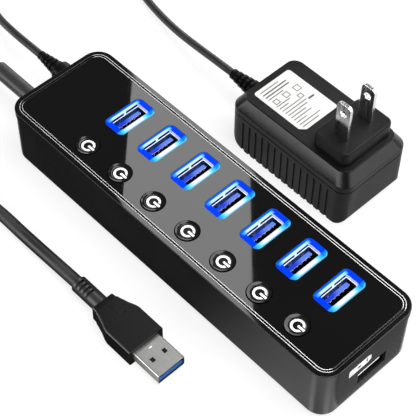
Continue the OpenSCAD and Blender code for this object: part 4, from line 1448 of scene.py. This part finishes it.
class HUB_OT_inlets(bpy.types.Operator):
    """Cable sleeve, power inlet and the power plug in it"""

    bl_idname = "hub.inlets"
    bl_label = "Inlets and power plug"

    def execute(self, context):
        end = SLEEVE[0][0]
        run = (CASE[0][0] - end) / MM
        sleeve = turned("cable_sleeve", (end, middle(SLEEVE, 1), middle(SLEEVE, 2)), (
            (0, 2.6), (0.3, 3.0), (0.9, 3.35), (run - 4.2, 3.35), (run - 4.0, 3.1),
            (run - 3.5, 3.1), (run - 3.3, 3.35), (run - 0.02, 3.35), (run - 0.01, 3.09),
            (run + 2.0, 3.09), (run + 2.0, 4.5), (run + 3.2, 4.5)), "X", 40)
        finish_piece(closed(sleeve, 40), "sleeve", "cord_black", HUB, "data_sleeve")
        self.plug()
        dress("dc_jack", "socket dark")
        dress("main_board", "board")
        dress("board_chips", "switch")
        return {"FINISHED"}

    def plug(self):
        x0, x1 = DC_GRIP[0][0], DC_GRIP[1][0]
        y, z = middle(DC_GRIP, 1), middle(DC_GRIP, 2)
        relief, span = 11.7, (x1 - x0) / MM
        profile = [(0, 1.75), *ribs(relief / 5, 3.8, 0.65, 1.8, 0.15, 0.16), (relief, 1.8),
                   (relief, 4.1), (relief + 0.4, 4.4), (relief + 0.9, 4.5), (span - 0.8, 4.5),
                   (span - 0.3, 4.4), (span, 4.1)]
        grip = turned("power_plug_grip", (x0, y, z), profile, "X", 40)
        sink(grip, lambda c, n: n.x > 0.9 and c.x > x1 - 1e-6, 1.35 * MM, 5 * MM, (-1, 0, 0))
        for angle in range(0, 360, 45):
            flute = block("flute", [x1 - 7.5 * MM, -0.35 * MM, 4.25 * MM],
                          [x1 - 2.2 * MM, 0.35 * MM, 5.2 * MM])
            flute.data.transform(Matrix.Translation((0, y, z))
                                 @ Matrix.Rotation(radians(angle), 4, "X"))
            cut(grip, flute)
        finish_piece(closed(grip, 40), "grip", "grip_black", SUPPLY, "dc_plug_grip")
        long = (DC_BARREL[1][0] - DC_BARREL[0][0]) / MM
        barrel = turned("power_plug_barrel", (DC_BARREL[0][0], y, z),
                        ((0, 2.75), (long - 0.3, 2.75), (long, 2.5)), "X", 40)
        sink(barrel, facing(0), 1.25 * MM, (long - 1) * MM, (-1, 0, 0))
        finish_piece(closed(barrel, 40), "blade", "plug_steel", SUPPLY, "dc_plug_barrel")


class HUB_OT_underside(bpy.types.Operator):
    """Rubber feet and the case screws"""

    bl_idname = "hub.underside"
    bl_label = "Feet and screws"

    def execute(self, context):
        radius, deep = 4, (FEET[1][2] - FEET[0][2]) / MM
        foot = turned("foot", self.first(FEET, radius),
                      ((0, 3.5), (0.2, 3.85), (0.5, radius), (deep, radius)), "Z", 40)
        sink(foot, facing(2, -1), 0.8 * MM, 0.12 * MM, (0, 0, 1))
        feet = self.four("feet", closed(foot, 40), FEET, radius)
        finish_piece(feet, "rubber", "foot_rubber", HUB, "rubber_feet")
        radius, deep = 2.2, (SCREWS[1][2] - SCREWS[0][2]) / MM
        x, y, z = place = self.first(SCREWS, radius)
        screw = turned("screw", place, ((0, 1.9), (0.3, radius), (1.0, radius), (1.0, 1.2),
                                        (deep - 0.8, 1.2), (deep, 0.5)), "Z", 32)
        face_out(screw)
        cut(screw, *(block("bar", *about((x, y), a, b, z - MM, z + 0.6 * MM))
                     for a, b in ((1.2, 0.28), (0.28, 1.2))))
        screws = self.four("screws", smooth(screw, 40), SCREWS, radius)
        finish_piece(screws, "steel", "screw_steel", HUB, "case_screws")
        return {"FINISHED"}

    def first(self, box, radius):
        """Where the first of four like parts stands."""
        return [box[0][0] + radius * MM, box[0][1] + radius * MM, box[0][2]]

    def four(self, name, piece, box, radius):
        """One part at each corner, as one piece."""
        (x, y), *others = corners(box, radius * MM)
        return joined(name, piece, *[copy_of(piece, "part", (a - x, b - y, 0))
                                     for a, b in others])


# ---------------------------------------------------------------- data plug


class HUB_OT_data_plug(bpy.types.Operator):
    """Data plug: tapered grip, slotted relief, metal shell and its insulator"""

    bl_idname = "hub.data_plug"
    bl_label = "Data plug"

    def execute(self, context):
        y, z = middle(TIP, 1), middle(TIP, 2)
        self.grip(y, z)
        self.shell(y, z)
        y0, (x1, y1, z1) = INSULATOR[0][1], INSULATOR[1]
        core = block("data_plug_core", *INSULATOR)
        bevel_edges(core, above(0, x1), 0.2 * MM, 3)
        cut(core, block("gap", [x1 - 4.0 * MM, y0 - MM, z1 - 0.55 * MM],
                        [x1 + MM, y1 + MM, z1 + MM]))
        finish_piece(smooth(core), "blue plastic", "insulator_blue", HUB, "data_plug_insulator")
        return {"FINISHED"}

    def grip(self, y, z):
        front, half_h, last = 21 * MM, 4 * MM, 7.8
        grip = block("data_plug_body", [front - 12 * MM, y - last * MM, z - half_h],
                     [front, y + last * MM, z + half_h])
        # How far each step goes back, then its half width and its share of the height
        waist = ((1.4, 7.5, 1), (1.35, 6.99, 1), (1.35, 6.42, 1), (1.4, 6.0, 1), (1.6, 5.5, 1),
                 (1.7, 5.07, 1), (0.0, 4.85, 0.96), (2.2, 4.7, 0.96))
        steps = []
        for run, half, height in waist:
            steps.append(((-run * MM, 0, 0), (1, half / last, height)))
            last = half
        drawn_out(grip, facing(0, -1), steps, (0, y, z))
        cut(grip, block("seat", [front - 6.2 * MM, y - 6.05 * MM, z - 2.3 * MM],
                        [front + MM, y + 6.05 * MM, z + 2.3 * MM]))
        bevel_edges(grip, lambda a, b: along(0)(a, b) and abs(a.y - b.y) < 2.2 * MM
                    and max(abs(abs(a.z - z) - half_h), abs(abs(b.z - z) - half_h)) < 0.5 * MM
                    and abs(a.z - b.z) < 0.5 * MM, 0.6 * MM, 3)
        end = GRIP[0][0]
        relief = turned("relief", (end, y, z), ((0, 2.9), (0.4, 3.3), (13.6, 3.3)), "X", 40)
        for k in range(4):
            x = end + (1.6 + 1.9 * k) * MM
            for low, high in ((-4, -1.7), (1.7, 4)):
                cut(relief, block("slot", [x, y - 4 * MM, z + low * MM],
                                  [x + 0.95 * MM, y + 1.2 * MM, z + high * MM]))
        cut(grip, relief, how="UNION")
        groove = block("groove", [front - 19.6 * MM, y - 0.22 * MM, z + half_h - 0.18 * MM],
                       [front - 14.6 * MM, y + 0.22 * MM, z + half_h + MM])
        dots = [rod("dot", [front - 13.6 * MM, y + side * 2.4 * MM, z + half_h - 0.25 * MM],
                    0.45, 1, "Z", 20) for side in (-1, 1)]
        cut(grip, groove, *dots)
        round_edges(grip, 0.18 * MM, 2, 40)
        finish_piece(grip, ("grip", "grip edge", "sleeve"), "grip_black", HUB, "data_plug_grip")
        # Painted highlight: upper bevels facing the near side or the front get a lighter colour and
        # more shine
        rim = z + half_h - 0.8 * MM
        paint(grip, lambda c, n: 2 if c.x < end + 12.6 * MM else
              0.15 < n.z < 0.985 and (n.y < -0.1 or n.x > 0.2) and c.z > rim)

    def shell(self, y, z):
        (x0, y0, z0), (x1, y1, z1) = TIP
        sheet = 0.3 * MM
        shell = block("data_plug_metal", *TIP)
        bevel_edges(shell, along(0), 0.45 * MM, 3)
        hollow = block("hollow", [x0 - MM, y0 + sheet, z0 + sheet],
                       [x1 + MM, y1 - sheet, z1 - sheet])
        bevel_edges(hollow, along(0), 0.25 * MM, 3)
        holes = [block("hole", *about((x1 - 6.5 * MM, y + side * 2.75 * MM), 0.9, 0.8,
                                      wall - MM, wall + MM))
                 for side in (-1, 1) for wall in (z1, z0)]
        cut(shell, hollow, *holes)
        # The slit is a low bar on the shell's top that carries a painted highlight
        slit = block("slit", *about((x1 - 10.75 * MM, y), 0.25, 0.8, z1 - 0.2 * MM,
                                    z1 + 0.01 * MM))
        joined("data_plug_metal", shell, slit)
        round_edges(shell, 0.06 * MM, 2, 40)
        finish_piece(shell, ("plug metal", "plug side", "slot dark"), "plug_steel", HUB,
                     "data_plug_shell")
        half = sheet / 2

        def part(c, n):
            """Painted shade inside, and a painted highlight on the near side and on the slit."""
            if y0 + half < c.y < y1 - half and z0 + half < c.z < z1 - half and abs(n.x) < 0.5:
                return 2
            return n.y < -0.6 or c.z > z1 + 0.005 * MM

        paint(shell, part)
        # Painted shade: a dark sheet under the shell's top, over the insulator
        dark = slab("data_plug_painted_shade", [x0 + 0.5 * MM, y0 + 0.35 * MM, z1 - 1.0 * MM],
                    [x1 - 4.2 * MM, y1 - 0.35 * MM, z1 - 0.34 * MM], 0.3 * MM, 3)
        finish_piece(smooth(dark), "slot dark", "grip_black", HUB)


# ---------------------------------------------------------------- mains supply


class HUB_OT_supply(bpy.types.Operator):
    """Mains supply: grooved lower shell, upper shell with its block, blades, relief, label"""

    bl_idname = "hub.supply"
    bl_label = "Mains supply"

    def execute(self, context):
        self.lower()
        self.upper()
        self.blades()
        self.relief()
        self.label()
        dress("supply_board", "tan board")
        dress("supply_transformer", "core")
        return {"FINISHED"}

    def lower(self):
        (x0, y0, z0), (x1, y1, z1) = LOWER
        shell = slab("supply_lower", *LOWER, 5 * MM, 8)
        hollow = slab("hollow", *grown(LOWER, -5 * MM, z0 + 2 * MM, z1 + 2 * MM), 2.5 * MM, 5)
        side = block("side", [x0, y0 - 2 * MM, z0], [x1, y1 + 2 * MM, z1 + 20 * MM])
        bevel_edges(side, both(below(2, z0), below(0, x0)), 10 * MM, 14)
        bevel_edges(side, both(below(2, z0), above(0, x1)), 4 * MM, 8)
        cut(shell, side, how="INTERSECT")
        count, pitch = 14, 3.4 * MM
        grooves = [block("groove", *about((middle(LOWER, 0) + (k - (count - 1) / 2) * pitch, y),
                                          0.6, 0.4, z0 - MM, z1 - 2 * MM))
                   for k in range(count) for y in (y0, y1)]
        inlet = rod("inlet", [x0 - MM, middle(LOWER, 1), 12.5 * MM], 2.5, 8, "X", 32)
        cut(shell, hollow, inlet, joined("grooves", *grooves))
        round_edges(shell, 0.16 * MM, 2, 32)
        finish_piece(shell, "supply", "supply_black", SUPPLY, "supply_lower_shell")

    def upper(self):
        (x0, y0, z0), (x1, y1, z1) = UPPER
        x, y = centre(UPPER)
        top = z1 - 7 * MM
        shell = slab("supply_upper", *grown(UPPER, 0, z0, z0 + 3 * MM), 5 * MM, 8)
        slope = (1 - 6 * MM / (x1 - x0), 1 - 6 * MM / (y1 - y0), 1)
        drawn_out(shell, facing(2),
                  [((0, 0, top - z0 - 3.5 * MM), slope), ((0, 0, 0.5 * MM), (1, 1, 1))], (x, y, 0))
        mid = (x1 - 13.5 * MM, y)
        body = slab("block", *about(mid, 8.5, 13, top - MM, top + 7 * MM), 3 * MM, 8)
        bevel_edges(body, lambda a, b: min(a.z, b.z) > top + 6.9 * MM, 0.8 * MM, 3)
        cut(shell, body, how="UNION")
        hollow = slab("hollow", *grown(UPPER, -5 * MM, z0 - MM, top - 2 * MM), 2.5 * MM, 5)
        slots = [block("blade slot", *about((mid[0], y + side * 6.35 * MM), 3.18, 0.76,
                                            top + MM, top + 9 * MM)) for side in (-1, 1)]
        parting = slab("parting", *grown(UPPER, MM, z0 - MM, z0 + 0.35 * MM), 0.5 * MM, 2)
        cut(parting, slab("core", *grown(UPPER, -0.4 * MM, z0 - 2 * MM, z0 + MM), 4.6 * MM, 8))
        cut(shell, hollow, *slots, parting)
        round_edges(shell, 0.2 * MM, 2, 28)
        finish_piece(shell, ("supply", "supply edge"), "supply_black", SUPPLY,
                     "supply_upper_shell")
        paint(shell, lambda c, n: 0.25 < n.z < 0.9 and z0 + 2.9 * MM < c.z < top)

    def blades(self):
        (x0, y0, z0), (x1, y1, z1) = BLADES
        thick = 1.5 * MM
        blade = block("blade", [x0, y0, z0], [x1, y0 + thick, z1])
        bevel_edges(blade, both(along(1), above(2, z1)), 1.7 * MM, 5)
        cut(blade, rod("hole", [middle(BLADES, 0), y0 - MM, z1 - 4.5 * MM], 1.6, 4, "Y", 28))
        round_edges(blade, 0.16 * MM, 2)
        pair = joined("supply_blade_pair", blade, copy_of(blade, "blade", (0, y1 - y0 - thick, 0)))
        finish_piece(pair, "blade", "plug_steel", SUPPLY, "supply_blades")

    def relief(self):
        x0, x1 = RELIEF[0][0], RELIEF[1][0]
        out = (LOWER[0][0] - x0) / MM
        profile = [(0, 1.9), *ribs((out - 3) / 5, 4.4, 0.7, 1.95, 0.18, 0.18), (out - 3.0, 1.95),
                   (out - 3.0, 4.1), (out - 2.7, 4.4), (out - 2.3, 4.5), (out - 0.02, 4.5),
                   (out - 0.01, 2.49), ((x1 - x0) / MM, 2.49)]
        relief = turned("supply_cable_relief", (x0, middle(RELIEF, 1), middle(RELIEF, 2)),
                        profile, "X", 40)
        finish_piece(closed(relief, 40), "grip", "grip_black", SUPPLY, "supply_relief")

    def label(self):
        (x0, y0, z0), (x1, y1, z1) = LABEL
        label = slab("supply_label_plate", *LABEL, 1.2 * MM, 5)
        corner = block("corner", (-3 * MM, -1.5 * MM, z0 - MM), (3 * MM, 1.5 * MM, z1 + MM))
        corner.data.transform(Matrix.Translation((x1, y0, 0)) @ Matrix.Rotation(pi / 4, 4, "Z"))
        cut(label, corner)
        round_edges(label, 0.05 * MM)
        finish_piece(label, "label", "label_white", SUPPLY, "supply_label")
        rules = []

        def rule(ax, ay, bx, by):
            """A thin printed bar, in millimetres from the label's corner."""
            rules.append(block("rule", [x0 + ax * MM, y0 + ay * MM, z1 - 0.05 * MM],
                               [x0 + bx * MM, y0 + by * MM, z1 + 0.015 * MM]))

        edge, room, line = 1.8, (y1 - y0) / MM - 3.6, 0.32
        shares = (0.62, 0.8, 0.8, 0.5, 0, 0, 0.45, 0.3, 0.6, 0.72, 0.66, 0.5, 0.6, 0.34, 0.7, 0.55)
        for k, share in enumerate(shares):
            if share:
                a, thick = 1.6 + 1.5 * k, 0.55 if k in (1, 2) else 0.38
                rule(a, edge, a + thick, edge + room * share)
        for a, b, side in ((7.6, 2.4, 2.4), (7.4, 7.6, 2.6), (7.6, 13.0, 2.8), (11.6, 11.4, 2.2)):
            rule(a, b, a + side, b + line)
            rule(a, b + side - line, a + side, b + side)
            rule(a, b, a + line, b + side)
            rule(a + side - line, b, a + side, b + side)
        rule(15.4, 13.6, 16.2, 16.6)
        finish_piece(smooth(joined("supply_label_rules", *rules)), "ink", "grip_black", SUPPLY)


# ---------------------------------------------------------------- add-on


OPERATORS = (
    HUB_OT_stage, HUB_OT_data_cord, HUB_OT_power_cord, HUB_OT_case, HUB_OT_cover,
    HUB_OT_plate, HUB_OT_sockets, HUB_OT_buttons, HUB_OT_front_end, HUB_OT_inlets,
    HUB_OT_underside, HUB_OT_data_plug, HUB_OT_supply,
)


class HUB_PT_sidebar(bpy.types.Panel):
    """Lists what builds the hub, and its sizes and colours"""

    bl_idname = "HUB_PT_sidebar"
    bl_label = "Powered hub"
    bl_space_type = "VIEW_3D"
    bl_region_type = "UI"
    bl_category = "Hub"

    def draw(self, context):
        for group in (context.scene.hub_sizes, context.scene.hub_colours):
            box = self.layout.box()
            for name in group.bl_rna.properties.keys():
                if name not in ("rna_type", "name"):
                    box.prop(group, name)
        for operator in OPERATORS:
            self.layout.operator(operator.bl_idname)


CLASSES = (HubColours, HubSizes, *OPERATORS, HUB_PT_sidebar)


def register():
    for each in CLASSES:
        bpy.utils.register_class(each)
    bpy.types.Scene.hub_colours = PointerProperty(type=HubColours)
    bpy.types.Scene.hub_sizes = PointerProperty(type=HubSizes)


def unregister():
    del bpy.types.Scene.hub_colours, bpy.types.Scene.hub_sizes
    for each in reversed(CLASSES):
        bpy.utils.unregister_class(each)


def main():
    register()
    mix_finishes(look())
    for operator in OPERATORS:
        group, name = operator.bl_idname.split(".")
        getattr(getattr(bpy.ops, group), name)()
    declare_cord("data_cord", DATA_CORD, "data_cord_tie", "data_plug_body", "data_plug_metal",
                 "data_plug_core", "data_plug_painted_shade")
    declare_cord("power_cord", POWER_CORD, "power_cord_tie", "power_plug_grip",
                 "power_plug_barrel")


if __name__ == "__main__":
    main()
